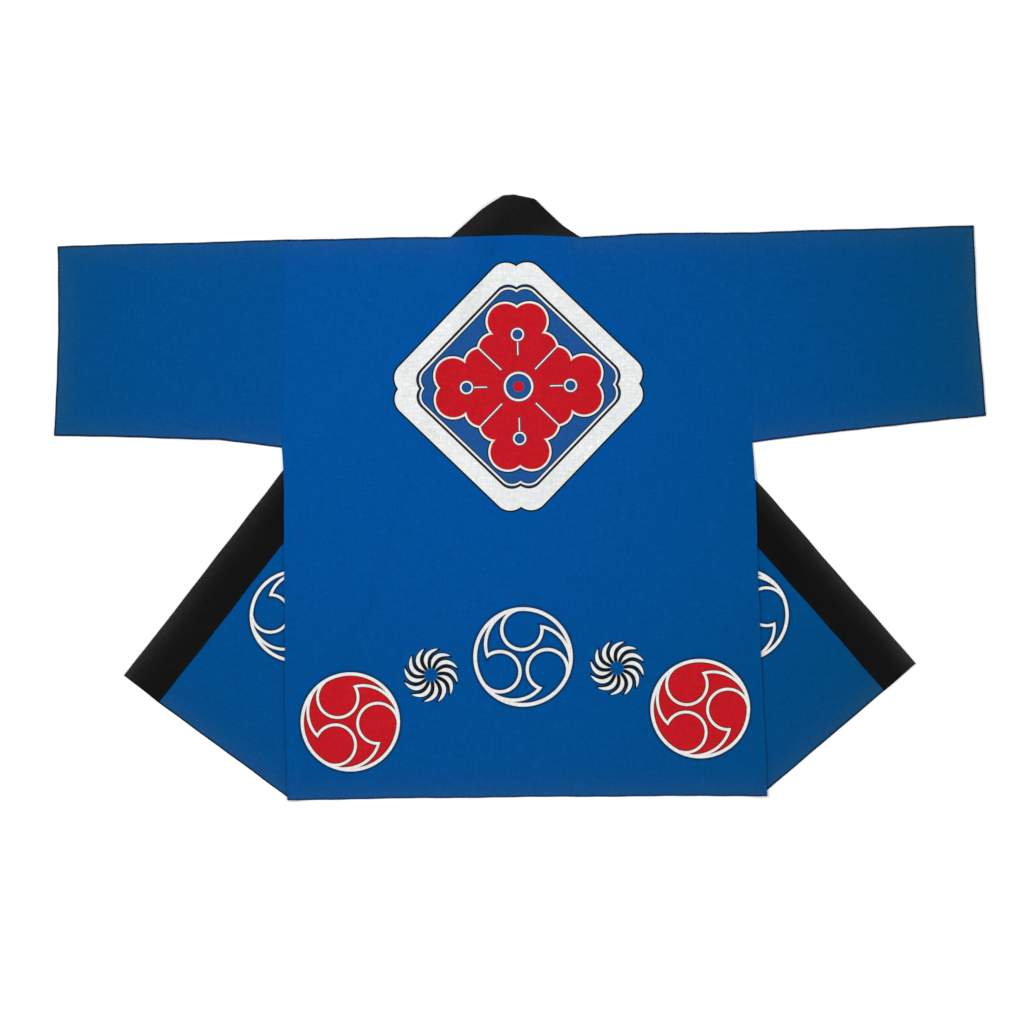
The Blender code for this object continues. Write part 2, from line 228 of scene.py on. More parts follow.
def middle_panels():
    """Return the back and the stretch of the collar behind the neck, by name."""
    back = [("hem_l", "edge"), ("fold_hem_l", "edge"), ("fold_hem_r", "edge"), ("hem_r", "edge"),
            ("side_low_r", "edge"), ("side_high_r", "edge"), ("armpit_r", "seam"),
            ("shoulder_tip_r", "edge"), ("shoulder_mid_r", "edge"), ("neck_r", "seam"),
            ("neck_middle", "seam"), ("neck_l", "edge"), ("shoulder_mid_l", "edge"),
            ("shoulder_tip_l", "seam"), ("armpit_l", "edge"), ("side_high_l", "edge"),
            ("side_low_l", "edge")]
    neck = [("neck_l", "seam"), ("neck_middle", "seam"), ("neck_r", "fold"), ("mitre_mid_r", "fold"),
            ("mitre_top_r", "edge"), ("collar_crown", "edge"), ("mitre_top_l", "fold"),
            ("mitre_mid_l", "fold")]
    return {"back": panel("back", TOP, CLOTH, back), "neck_collar": panel("collar", TOP, BAND, neck)}


PANELS = {**side_panels("left"), **side_panels("right"), **middle_panels()}


def ring(piece):
    """Return the outline's corners as an array."""
    return np.array([CORNERS[name] for name in piece.names])


def edges_of(piece):
    """Return start name, end name and kind of each outline edge."""
    return list(zip(piece.names, piece.names[1:] + piece.names[:1], piece.kinds))


def unit(vectors):
    """Vectors divided by their lengths."""
    return vectors / np.linalg.norm(vectors, axis=-1, keepdims=True)


def area_of(piece):
    """Area of a panel: half the sum of the cross products of neighbouring corners."""
    corners = ring(piece)
    following = np.roll(corners, -1, axis=0)
    return 0.5 * np.sum(corners[:, 0] * following[:, 1] - corners[:, 1] * following[:, 0])


def inward(piece, start, end):
    """Direction into the panel, square to one of its edges."""
    run = unit(CORNERS[end] - CORNERS[start])
    return math.copysign(1.0, area_of(piece)) * np.array((-run[1], run[0]))


def is_inside(points, corners):
    """A point is inside where a ray to its right crosses an odd number of edges."""
    x, y = points[:, 0, None], points[:, 1, None]
    following = np.roll(corners, -1, axis=0)
    rise = following[:, 1] - corners[:, 1]
    rise = np.where(rise == 0.0, 1e-9, rise)
    crossing = corners[:, 0] + (y - corners[:, 1]) / rise * (following[:, 0] - corners[:, 0])
    spans = (corners[:, 1] > y) != (following[:, 1] > y)
    return np.sum(spans & (x < crossing), axis=1) % 2 == 1


def line_distance(points, starts, ends):
    """Distance from each point to the nearest of the lines from starts to ends."""
    run = ends - starts
    reach = points[:, None] - starts
    share = np.clip(np.sum(reach * run, -1) / np.sum(run * run, -1), 0.0, 1.0)
    return np.linalg.norm(reach - share[..., None] * run, axis=-1).min(axis=1)


def kind_distance(points, piece, kinds, names=None):
    """Distance from each point to the nearest outline edge of the given kinds, far off if none."""
    chosen = [(CORNERS[start], CORNERS[end]) for start, end, kind in edges_of(piece)
              if kind in kinds and (names is None or {start, end} <= names)]
    if not chosen:
        return np.full(len(points), FAR_OFF)
    starts, ends = (np.array(side) for side in zip(*chosen))
    return line_distance(points, starts, ends)


def cover(points, piece):
    """1 over a panel, and half of 1 plus a cosine outside it, down to 0 at the ramp's length."""
    corners = ring(piece)
    away = line_distance(points, corners, np.roll(corners, -1, axis=0))
    away = np.where(is_inside(points, corners), 0.0, away)
    return 0.5 + 0.5 * np.cos(math.pi * np.clip(away / RAMP, 0.0, 1.0))


def mound(points, x, y, turn, length, width, height):
    """A squared cosine of the distance from a centre, measured in half lengths and half widths."""
    angle = math.radians(turn)
    reach = points - np.array((x, y))
    along = (reach[:, 0] * math.cos(angle) + reach[:, 1] * math.sin(angle)) / length
    across = (reach[:, 1] * math.cos(angle) - reach[:, 0] * math.sin(angle)) / width
    away = np.clip(np.hypot(along, across), 0.0, 1.0)
    return height * np.cos(0.5 * math.pi * away) ** 2


def layer_floors(points):
    """Height of each layer's underside: a small lift off the ground, then for each layer below it the
    highest of that layer's covers, each worth its panel's wall and a gap. The sum of a layer's
    creases is added, and on the top layer the highest swell."""
    creases = [sum(mound(points, *row[1:]) for row in CREASE_TABLE if row[0] == layer)
               for layer in (FLAP, TOP)]
    floors = [creases[0] + LIFT]
    for layer in (FLAP, UNDER):
        below = [cover(points, piece) * (piece.thick + LAYER_GAP)
                 for piece in PANELS.values() if piece.layer == layer]
        floors.append(floors[-1] + np.max(below, axis=0))
    swell = np.max([mound(points, *row) for row in SWELL_TABLE], axis=0)
    floors[TOP] = floors[TOP] + swell + creases[1]
    return floors


def laid(places, piece):
    """Lift flat places to the middle of a panel's wall. The upward direction leans against the
    slope, which is the change in height over a short step along x and along y."""
    shape = places.shape[:-1]
    flat = places.reshape(-1, 2)
    step = 0.5
    height = layer_floors(flat)[piece.layer]
    slope_x = (layer_floors(flat + (step, 0.0))[piece.layer] - height) / step
    slope_y = (layer_floors(flat + (0.0, step))[piece.layer] - height) / step
    points = np.column_stack([flat, height + 0.5 * piece.thick])
    upward = unit(np.column_stack([-slope_x, -slope_y, np.ones(len(flat))]))
    return points.reshape(*shape, 3), upward.reshape(*shape, 3)


def inset_corners(piece):
    """Corners of a panel after its edges move inwards: at a fold by the bend's radius and half the
    shell, at a seam by half the gap. A corner lies where its two moved edges cross."""
    reach = {"fold": 0.5 * (piece.thick + LAYER_GAP + SHELL[piece.thick]),
             "seam": 0.5 * SEAM_GAP, "edge": 0.0}
    sides = [(inward(piece, start, end), reach[kind]) for start, end, kind in edges_of(piece)]
    corners = {}
    for place, name in enumerate(piece.names):
        (first, first_push), (second, second_push) = sides[place - 1], sides[place]
        normals = np.array((first, second))
        if abs(np.linalg.det(normals)) > 0.05:
            shift = np.linalg.solve(normals, (first_push, second_push))
        else:
            shift = unit(first + second) * 0.5 * (first_push + second_push)
        corners[name] = CORNERS[name] + shift
    return corners


def tagged(tag, *names):
    """Names of one side's corners."""
    return [name + tag for name in names]


def way_along(line):
    """Distance along a line to each of its corners: the sum of the steps before it."""
    steps = np.linalg.norm(np.diff(line, axis=0), axis=1)
    return np.concatenate([[0.0], np.cumsum(steps)])


def places_on(line, knots, at):
    """Places on a line, each in proportion between the two corners whose knots it lies between."""
    return np.stack([np.interp(at, knots, line[:, axis]) for axis in (0, 1)], axis=-1)


def knots_of(corners, names):
    """Shares of a line's length at its corners, and its length."""
    way = way_along(np.array([corners[name] for name in names]))
    return way / way[-1], way[-1]


def along(corners, names, shares):
    """Places on the line through named corners, at shares of its length."""
    knots, _ = knots_of(corners, names)
    return places_on(np.array([corners[name] for name in names]), knots, shares)


def stations(length, knots=(), marks=(), close_start=True, close_end=True):
    """Shares of a length for the grid's lines: even steps, the corners, marked places such as a row
    of stitches, and closer lines beside a rounded edge."""
    special = [0.0, 1.0, *knots, *(np.asarray(marks) / length)]
    if close_start:
        special.extend(EDGE_LINES / length)
    if close_end:
        special.extend(1.0 - EDGE_LINES / length)
    special = np.unique(np.round(special, 7))
    even = np.linspace(0.0, 1.0, max(2, math.ceil(length / STEP)) + 1)
    even = even[np.abs(even[:, None] - special).min(axis=1) > 0.3 * STEP / length]
    return np.unique(np.concatenate([special, even]))


def patch(low, high, left, right, across, up):
    """Surface between four lines: the ruled surface from low to high, plus the one from left to
    right, less the blend of the four corners."""
    u, v = across[:, None, None], up[None, :, None]
    ruled = (1 - v) * low[:, None] + v * high[:, None] + (1 - u) * left[None] + u * right[None]
    blend = ((1 - u) * (1 - v) * low[0] + u * (1 - v) * low[-1]
             + (1 - u) * v * high[0] + u * v * high[-1])
    return ruled - blend


def away_from(places, piece):
    """Direction square to a line of places and out of the panel beside it."""
    run = unit(np.gradient(places, axis=0))
    side = np.stack([run[:, 1], -run[:, 0]], axis=-1)
    centre = ring(piece).mean(axis=0)
    outwards = np.sum(side * (places - centre), axis=-1).mean()
    return side * math.copysign(1.0, outwards)


def bend(low, high, out):
    """Half turn that joins two layers: a point goes round a half circle whose height is the step
    between the layers, and moves evenly along the fold from one layer's place to the other's."""
    angle = math.pi * np.arange(1, FOLD_STEPS) / FOLD_STEPS
    angle = angle[:, None, None]
    radius = 0.5 * (high[:, 2:] - low[:, 2:])
    share = angle / math.pi
    flat = low[:, :2] * (1 - share) + high[:, :2] * share + out * radius * np.sin(angle)
    height = 0.5 * (low[:, 2:] + high[:, 2:]) - radius * np.cos(angle)
    around = np.concatenate([out * np.sin(angle), -np.cos(angle) + 0.0 * radius], axis=-1)
    return np.concatenate([flat, height], axis=-1), around


def rounded(half, away, radius):
    """Half thickness that falls off as a quarter circle within the radius of an open edge."""
    depth = 1.0 - np.clip(away / radius, 0.0, 1.0)
    return half * np.sqrt(1.0 - ROUND_SHARE * depth * depth)


def hem_swell(away, depth):
    """The turned hem is thicker by a smooth step, with a groove along its row of stitches."""
    step = np.clip((depth + 0.5 * HEM_STEP - away) / HEM_STEP, 0.0, 1.0)
    step = step * step * (3.0 - 2.0 * step)
    groove = GROOVE * np.exp(-((away - depth) / GROOVE_WIDTH) ** 2)
    return 0.5 * (HEM_SHELL - SHELL[CLOTH]) * step - groove


def measures(places, piece, hem_names=None):
    """Half thickness and the distances to the outline, the seams and the hem at each place. The
    back's two sides, which lie on the turned fronts, don't count as outline."""
    flat = places.reshape(-1, 2)
    rim_names = {name for name in piece.names if not (piece.node == "back" and "side" in name)}
    rim = kind_distance(flat, piece, ("edge", "fold"), rim_names)
    seam = kind_distance(flat, piece, ("seam",))
    open_edge = kind_distance(flat, piece, ("edge",))
    hem = np.full(len(flat), FAR_OFF)
    half = np.full(len(flat), 0.5 * SHELL[piece.thick])
    if hem_names:
        hem = kind_distance(flat, piece, ("edge",), hem_names)
        depth = CUFF_DEPTH if "cuff_mid" in " ".join(hem_names) else HEM_DEPTH
        half = half + hem_swell(hem, depth)
    half = rounded(rounded(half, open_edge, ROUND[piece.thick]), seam, SEAM_ROUND)
    lines = np.column_stack([rim, seam, hem])
    return half.reshape(places.shape[:-1]), lines.reshape(*places.shape[:-1], 3)


def mirrored(places, start, end):
    """Mirror places in the line from start to end, which lays a turned part flat again."""
    run = unit(end - start)
    reach = places - start
    foot = np.sum(reach * run, axis=-1, keepdims=True) * run
    return start + 2.0 * foot - reach


def grid_quads(rows, columns, keep=None, closed=False):
    """Corner numbers of a grid's quads, row by row. A closed grid joins its last column to its first."""
    number = np.arange(rows * columns).reshape(rows, columns)
    if closed:
        number = np.concatenate([number, number[:, :1]], axis=1)
    quads = np.stack([number[:-1, :-1], number[1:, :-1], number[1:, 1:], number[:-1, 1:]], axis=-1)
    if keep is not None:
        quads = quads[keep]
    return quads.reshape(-1, 4)


def cloth_mesh(name, sheet):
    """Close a middle surface into a shell: its points moved outward and inward by half the
    thickness, and a band of quads along every open edge."""
    points = sheet.points.reshape(-1, 3)
    shift = unit(sheet.outward.reshape(-1, 3)) * sheet.half.reshape(-1, 1)
    count = len(points)
    quads = sheet.quads
    a, b, c = (points[quads[:, corner]] for corner in (0, 1, 2))
    agrees = np.sum(np.cross(b - a, c - a) * shift[quads[:, 0]]) > 0.0
    if not agrees:
        quads = quads[:, ::-1]
    starts, ends = quads.reshape(-1), np.roll(quads, -1, axis=1).reshape(-1)
    border = ~np.isin(starts * count + ends, ends * count + starts)
    rim = np.column_stack([ends[border], starts[border], starts[border] + count, ends[border] + count])
    faces = np.concatenate([quads, quads[:, ::-1] + count, rim])
    used, numbers = np.unique(faces, return_inverse=True)
    places = np.concatenate([points + shift, points - shift])[used]
    places[:, :2] += ripple(places[:, :2])
    flat = np.column_stack([sheet.flat.reshape(-1, 2), np.zeros(count)])
    mesh = bpy.data.meshes.new(name)
    mesh.from_pydata((places * MM).tolist(), [], numbers.reshape(-1, 4).tolist())
    store(mesh, "cloth", np.tile(flat, (2, 1))[used])
    store(mesh, "lines", np.tile(sheet.lines.reshape(-1, 3), (2, 1))[used])
    store(mesh, "outside", np.repeat((1.0, 0.0), count)[used])
    welded(mesh)
    return mesh


def waves(places, rows):
    """Sum of sine waves, each a height times the sine of the place over a length plus a start."""
    return sum(height * np.sin(places / length + start) for height, length, start in rows)


def ripple(flat):
    """Shift of a flat place: sine waves of the other coordinate each way, and at the hem a shallow
    rise that is a parabola across and fades with the square of the height above the hem."""
    x, y = flat[..., 0], flat[..., 1]
    across = np.clip(1.0 - (x / BOW_HALF_WIDTH) ** 2, 0.0, 1.0)
    fade = np.clip((BOW_TOP - y) / BOW_FADE, 0.0, 1.0) ** 2
    upward = waves(x, WAVES_UPWARD) + HEM_BOW * across * fade
    return np.stack([waves(y, WAVES_ASIDE), upward], axis=-1)


def store(mesh, name, values):
    """Keep a number or a vector for each vertex, in millimetres where it is a length."""
    kind, field = ("FLOAT", "value") if values.ndim == 1 else ("FLOAT_VECTOR", "vector")
    mesh.attributes.new(name, kind, "POINT").data.foreach_set(field, values.astype(np.float32).ravel())


def welded(mesh):
    """Merge points that share a place, such as those at a triangle's pole."""
    shape = bmesh.new()
    shape.from_mesh(mesh)
    bmesh.ops.remove_doubles(shape, verts=shape.verts, dist=2e-6)
    shape.to_mesh(mesh)
    shape.free()
    mesh.shade_smooth()


def linked(name, data):
    """Put an object with this mesh, lamp or camera into the scene."""
    made = bpy.data.objects.new(name, data)
    bpy.context.scene.collection.objects.link(made)
    return made


def placed(name, mesh, finish):
    """Put a mesh into the scene, riding on the coat's body, with its finish."""
    mesh.materials.append(finish)
    piece = linked(name, mesh)
    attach(piece, BODY)
    return piece


def back_sheet():
    """The back is one patch between its hem, its shoulders and neck, and its two sides."""
    piece = PANELS["back"]
    corners = inset_corners(piece)
    low = ["hem_l", "fold_hem_l", "fold_hem_r", "hem_r"]
    high = ["shoulder_tip_l", "shoulder_mid_l", "neck_l", "neck_middle", "neck_r",
            "shoulder_mid_r", "shoulder_tip_r"]
    left = ["hem_l", "side_low_l", "side_high_l", "armpit_l", "shoulder_tip_l"]
    right = ["hem_r", "side_low_r", "side_high_r", "armpit_r", "shoulder_tip_r"]
    top_knots, width = knots_of(corners, high)
    left_knots, length = knots_of(corners, left)
    right_knots, _ = knots_of(corners, right)
    across = stations(width, top_knots)
    up = stations(length, [*left_knots, *right_knots], HEM_DEPTH + SEWN_LINES)
    places = patch(along(corners, low, across), along(corners, high, across),
                   along(corners, left, up), along(corners, right, up), across, up)
    points, upward = laid(places, piece)
    half, lines = measures(places, piece, set(low))
    return Sheet(points, upward, half, places, lines, grid_quads(len(across), len(up)))


def sleeve_sheet(side):
    """A sleeve is a flat tube: the upper wall from the lower fold to the upper one, a half turn,
    the lower wall back again, and a half turn that closes it."""
    tag = "_" + side[0]
    wall = {layer: PANELS["sleeve_" + layer + tag] for layer in ("top", "under")}
    corners = inset_corners(wall["top"])
    armhole = tagged(tag, "armpit", "shoulder_tip")
    cuff = tagged(tag, "cuff_low", "cuff_mid", "cuff_top")
    low = tagged(tag, "armpit", "sleeve_low", "cuff_low")
    high = tagged(tag, "shoulder_tip", "cuff_top")
    low_knots, length = knots_of(corners, low)
    cuff_knots, width = knots_of(corners, cuff)
    out = stations(length, low_knots, length - CUFF_DEPTH + SEWN_LINES)
    up = stations(width, cuff_knots, close_start=False, close_end=False)
    places = patch(along(corners, low, out), along(corners, high, out),
                   along(corners, armhole, up), along(corners, cuff, up), out, up)
    top, top_up = laid(places, wall["top"])
    under, under_up = laid(places, wall["under"])
    half, lines = measures(places, wall["top"], set(cuff))
    upper_out = away_from(places[:, -1], wall["top"])
    lower_out = away_from(places[:, 0], wall["top"])
    upper, upper_around = bend(under[:, -1], top[:, -1], upper_out)
    lower, lower_around = bend(under[:, 0], top[:, 0], lower_out)
    turned = [top, upper[::-1].swapaxes(0, 1), under[:, ::-1], lower.swapaxes(0, 1)]
    facing = [top_up, upper_around[::-1].swapaxes(0, 1), -under_up[:, ::-1], lower_around.swapaxes(0, 1)]
    fold = np.ones(FOLD_STEPS - 1)[None, :]
    halves = [half, half[:, -1:] * fold, half[:, ::-1], half[:, :1] * fold]
    spans = [(places, lines), (places[:, -1:], lines[:, -1:]), (places[:, ::-1], lines[:, ::-1]),
             (places[:, :1], lines[:, :1])]
    flat, marks = ([np.broadcast_to(span[part], (*shape.shape[:2], span[part].shape[-1]))
                    for span, shape in zip(spans, turned)] for part in (0, 1))
    points = np.concatenate(turned, axis=1)
    return Sheet(points, np.concatenate(facing, axis=1), np.concatenate(halves, axis=1),
                 np.concatenate(flat, axis=1), np.concatenate(marks, axis=1),
                 grid_quads(points.shape[0], points.shape[1], closed=True))


def front_sheet(side):
    """A front is the laid part up to its fold and neck seam, a half turn along the fold, and the
    turned triangle below it, whose rows shrink to a point where the fold meets the collar."""
    tag = "_" + side[0]
    upper, lower = PANELS["laid_front" + tag], PANELS["turned_front" + tag]
    corners, turned_corners = inset_corners(upper), inset_corners(lower)
    outer = tagged(tag, "hem", "side_low", "side_high", "armpit", "shoulder_tip")
    inner = tagged(tag, "fold_hem", "fold_neck", "neck")
    high = tagged(tag, "shoulder_tip", "shoulder_mid", "neck")
    low, turned_low = tagged(tag, "hem", "fold_hem"), tagged(tag, "flap_seam", "fold_hem")
    fold, seam = tagged(tag, "fold_hem", "fold_neck"), tagged(tag, "flap_seam", "fold_neck")
    outer_knots, length = knots_of(corners, outer)
    inner_knots, _ = knots_of(corners, inner)
    high_knots, width = knots_of(corners, high)
    up = stations(length, [*outer_knots, *inner_knots], HEM_DEPTH + SEWN_LINES)
    turn = int(np.argmin(np.abs(up - inner_knots[1])))
    across = stations(width, high_knots)
    places = patch(along(corners, outer, up), along(corners, inner, up),
                   along(corners, low, across), along(corners, high, across), up, across)
    fold_up = np.clip(up / up[turn], 0.0, 1.0)
    _, hem_width = knots_of(CORNERS, turned_low)
    reach = stations(hem_width, close_start=False)[None, :, None]
    turned = (along(turned_corners, fold, fold_up)[:, None] * (1 - reach)
              + along(turned_corners, seam, fold_up)[:, None] * reach)
    points, upward = laid(places, upper)
    turned_points, turned_up = laid(turned, lower)
    out = away_from(places[:turn + 1, -1], lower)
    out = out[np.minimum(np.arange(len(up)), turn)]
    bent, around = bend(turned_points[:, 0], points[:, -1], out)
    half, lines = measures(places, upper, set(low))
    turned_half, turned_lines = measures(turned, lower, set(turned_low))
    folded_flat = mirrored(turned, CORNERS[fold[0]], CORNERS[fold[1]])
    steps = np.ones(FOLD_STEPS - 1)
    quads_kept = np.ones((len(up) - 1, len(across) + FOLD_STEPS - 1 + turned.shape[1] - 1), bool)
    quads_kept[turn:, len(across) - 1:] = False
    whole = np.concatenate([points, bent[::-1].swapaxes(0, 1), turned_points], axis=1)
    return Sheet(
        whole,
        np.concatenate([-upward, -around[::-1].swapaxes(0, 1), turned_up], axis=1),
        np.concatenate([half, half[:, -1:] * steps, turned_half], axis=1),
        np.concatenate([places, places[:, -1:] * steps[:, None], folded_flat], axis=1),
        np.concatenate([lines, lines[:, -1:] * steps[:, None], turned_lines], axis=1),
        grid_quads(whole.shape[0], whole.shape[1], quads_kept))


def collar_part(piece, seam, edge, start, end, shares, across):
    """One flat stretch of the collar band, from its seam to its outer edge."""
    corners = inset_corners(piece)
    places = patch(along(corners, seam, shares), along(corners, edge, shares),
                   along(corners, start, across), along(corners, end, across), shares, across)
    points, upward = laid(places, piece)
    half, lines = measures(places, piece)
    return places, points, upward, half, lines


def collar_sheet():
    """The collar is one band in five flat stretches, turned over at the two front folds and at the
    two mitres beside the neck. Its cloth coordinates are the way along it and the way across it."""
    across = stations(BAND_WIDTH)
    stretches = []
    for tag in ("_l", "_r"):
        turned, flat = PANELS["turned_collar" + tag], PANELS["laid_collar" + tag]
        mitre = tagged(tag, "neck", "mitre_mid", "mitre_top")
        fold = tagged(tag, "fold_neck", "fold_top")
        hem = tagged(tag, "flap_seam", "flap_tip")
        seam = tagged(tag, "flap_seam", "fold_neck")
        edge = tagged(tag, "flap_tip", "flap_knee", "fold_top")
        edge_knots, length = knots_of(CORNERS, edge)
        shares = stations(length, edge_knots, close_end=False)
        lower = collar_part(turned, seam, edge, hem, fold, shares, across)
        seam, edge = tagged(tag, "fold_neck", "neck"), tagged(tag, "fold_top", "mitre_top")
        _, length = knots_of(CORNERS, seam)
        shares = stations(length, close_start=False, close_end=False)
        middle = collar_part(flat, seam, edge, fold, mitre, shares, across)
        stretches.append([(turned, lower), (flat, middle)])
    seam = ["neck_l", "neck_middle", "neck_r"]
    edge = ["mitre_top_l", "collar_crown", "mitre_top_r"]
    seam_knots, length = knots_of(CORNERS, seam)
    edge_knots, _ = knots_of(CORNERS, edge)
    shares = stations(length, [*seam_knots, *edge_knots], close_start=False, close_end=False)
    neck = PANELS["neck_collar"]
    ends = [tagged(tag, "neck", "mitre_mid", "mitre_top") for tag in ("_l", "_r")]
    top = (neck, collar_part(neck, seam, edge, *ends, shares, across))
    order = [*stretches[0], top, *[(piece, tuple(part[::-1] for part in parts))
                                   for piece, parts in reversed(stretches[1])]]
    rows = {key: [] for key in ("points", "outward", "half", "lines", "run")}
    travelled = 0.0
    for place, (piece, (places, points, upward, half, lines)) in enumerate(order):
        if place:
            before, (_, last, _, last_half, last_lines) = order[place - 1]
            low, high = (last[-1], points[0]) if piece.layer > before.layer else (points[0], last[-1])
            lower, edge_places = (before, last[-1]) if piece.layer > before.layer else (piece, points[0])
            bent, around = bend(low, high, away_from(edge_places[:, :2], lower))
            if lower.layer == FLAP:
                around = -around
            if piece.layer < before.layer:
                bent, around = bent[::-1], around[::-1]
            steps = np.ones((FOLD_STEPS - 1, 1))
            rows["points"].append(bent)
            rows["outward"].append(around)
            rows["half"].append(last_half[-1] * steps)
            rows["lines"].append(last_lines[-1] * steps[..., None])
            rows["run"].append(np.full((FOLD_STEPS - 1, len(across)), travelled))
        step = np.linalg.norm(np.diff(places, axis=0), axis=-1)
        run = travelled + np.concatenate([np.zeros((1, len(across))), np.cumsum(step, axis=0)])
        travelled = run[-1].mean()
        rows["points"].append(points)
        rows["outward"].append(-upward if piece.layer == UNDER else upward)
        rows["half"].append(half)
        rows["lines"].append(lines)
        rows["run"].append(run)
    joined = {key: np.concatenate(parts) for key, parts in rows.items()}
    wide = np.broadcast_to(across * BAND_WIDTH, joined["run"].shape)
    flat = np.stack([wide, joined["run"]], axis=-1)
    return Sheet(joined["points"], joined["outward"], joined["half"], flat, joined["lines"],
                 grid_quads(*joined["run"].shape)), travelled


class Finish:
    """A material whose nodes all come from one method."""

    def __init__(self, name):
        self.material = bpy.data.materials.new(name)
        self.material.use_nodes = True
        self.tree = self.material.node_tree
        self.shader = self.tree.nodes["Principled BSDF"]

    def node(self, kind, settings=None, sockets=None, output=0):
        """Add a node, set it up, fill or link its sockets and return one of its outputs."""
        made = self.tree.nodes.new(kind)
        for name, value in (settings or {}).items():
            setattr(made, name, value)
        for key, value in (sockets or {}).items():
            self.feed(made.inputs[key], value)
        return Wire(self, made.outputs[output])

    def feed(self, socket, value):
        """Link a wire to a socket, or set the socket's value."""
        if isinstance(value, Wire):
            self.tree.links.new(value.socket, socket)
        else:
            socket.default_value = value


class Wire:
    """An output whose sums, differences, products and quotients add Math nodes."""

    def __init__(self, finish, socket):
        self.finish = finish
        self.socket = socket

    def math(self, operation, *others, clamp=False):
        settings = {"operation": operation, "use_clamp": clamp}
        return self.finish.node("ShaderNodeMath", settings, dict(enumerate((self, *others))))

    def __add__(self, other):
        return self.math("ADD", other)

    __radd__ = __add__

    def __mul__(self, other):
        return self.math("MULTIPLY", other)

    __rmul__ = __mul__

    def __sub__(self, other):
        return self.math("ADD", other * -1.0)

    def __rsub__(self, other):
        return (self * -1.0).math("ADD", other)

    def __truediv__(self, other):
        return self.math("DIVIDE", other)

    def __abs__(self):
        return self.math("ABSOLUTE")

    def parts(self):
        """The x, y and z of a vector."""
        split = self.finish.node("ShaderNodeSeparateXYZ", None, {0: self}).socket.node
        return tuple(Wire(self.finish, output) for output in split.outputs)


def least(first, *others):
    """The smallest of several values."""
    for other in others:
        first = first.math("MINIMUM", other)
    return first


def most(first, *others):
    """The greatest of several values."""
    for other in others:
        first = first.math("MAXIMUM", other)
    return first


def length_of(x, y):
    """Square root of x squared plus y squared."""
    return (x * x + y * y).math("SQRT")


def within(distance, blur=0.35):
    """1 where a signed distance is below zero and 0 above it, blurred over a few tenths of a
    millimetre as ink spreads."""
    return distance.math("MULTIPLY_ADD", -1.0 / blur, 0.5, clamp=True)


def over(base, colour, mask):
    """Lay a colour over another where the mask is 1."""
    sockets = {0: mask, 6: base, 7: colour}
    return mask.finish.node("ShaderNodeMix", {"data_type": "RGBA"}, sockets, 2)


def stored(finish, name, output="Vector"):
    """What the mesh keeps under a name for each vertex."""
    return finish.node("ShaderNodeAttribute", {"attribute_name": name}, output=output)


def turned_by(x, y, degrees):
    """Coordinates in axes that are turned anticlockwise by the angle."""
    cosine, sine = math.cos(math.radians(degrees)), math.sin(math.radians(degrees))
    return x * cosine + y * sine, y * cosine - x * sine


# Three-comma emblem, with the middle of its ring at radius 1
RING_EXTRA = 0.0097
HEAD_REACH = 0.574
HEAD_RADIUS = 0.4205
HEAD_MERGE = 14.0
TAIL_START = 0.730
TAIL_GROWTH = 0.005624
TAIL_CURVE = 0.00002427
TAIL_ANGLE = 32.5
TAIL_SLANT = 0.95


def comma_lines(x, y, turn, line_width):
    """Signed distance to the emblem's lines: a slightly wider ring, and the outline of the ground
    that lies outside the three round heads and nearer the middle than the tails. A tail's radius
    grows with the angle from its head clockwise, less a small part of the angle squared, and the
    distance square to its slanted line is a share of the radial one. A head's line runs out into
    the ring over the merging angle."""
    radius = length_of(x, y)
    angle = y.math("ARCTAN2", x) * (180.0 / math.pi)
    behind = turn - angle
    delta = ((behind + 60.0).math("FLOORED_MODULO", 120.0) - 60.0) * (math.pi / 180.0)
    toward = radius * delta.math("COSINE") - HEAD_REACH
    aside = radius * delta.math("SINE")
    head = HEAD_RADIUS - length_of(toward, aside)
    around = (toward.math("ARCTAN2", aside) * (180.0 / math.pi) - 90.0).math("FLOORED_MODULO", 360.0)
    half_width = (around / HEAD_MERGE).math("MINIMUM", 1.0) * 0.5 * line_width
    behind = behind.math("FLOORED_MODULO", 120.0) - TAIL_ANGLE
    tail_radius = behind * TAIL_GROWTH - behind * behind * TAIL_CURVE + TAIL_START
    ground = most(head, (radius - tail_radius) * TAIL_SLANT)
    ring_line = abs(radius - 1.0) - 0.5 * (line_width + RING_EXTRA)
    return least(ring_line, most(abs(ground) - half_width, radius - 1.0)), radius


# Whirl of curved blades, in millimetres and degrees. A blade is widest at BLADE_MIDDLE, and its reach
# and its taper's power are given inwards and outwards from there
WHIRL_RADIUS = 38.7
WHIRL_HOLE = 8.8
BLADES = 12
BLADE_TIP = 16.0
BLADE_SWEEP = 39.0
BLADE_POWER = 2.45
BLADE_ANGLE = 7.5
BLADE_MIDDLE = 25.3
BLADE_REACHES = (16.2, 13.6)
BLADE_TAPERS = (2.5, 4.5)
BLADE_SLANT = 0.7

# How far the dark ground runs beside a blade, past its tip, and how far out from the hole it starts
GROUND_BESIDE = 2.5
GROUND_PAST = 0.8
GROUND_START = 1.2


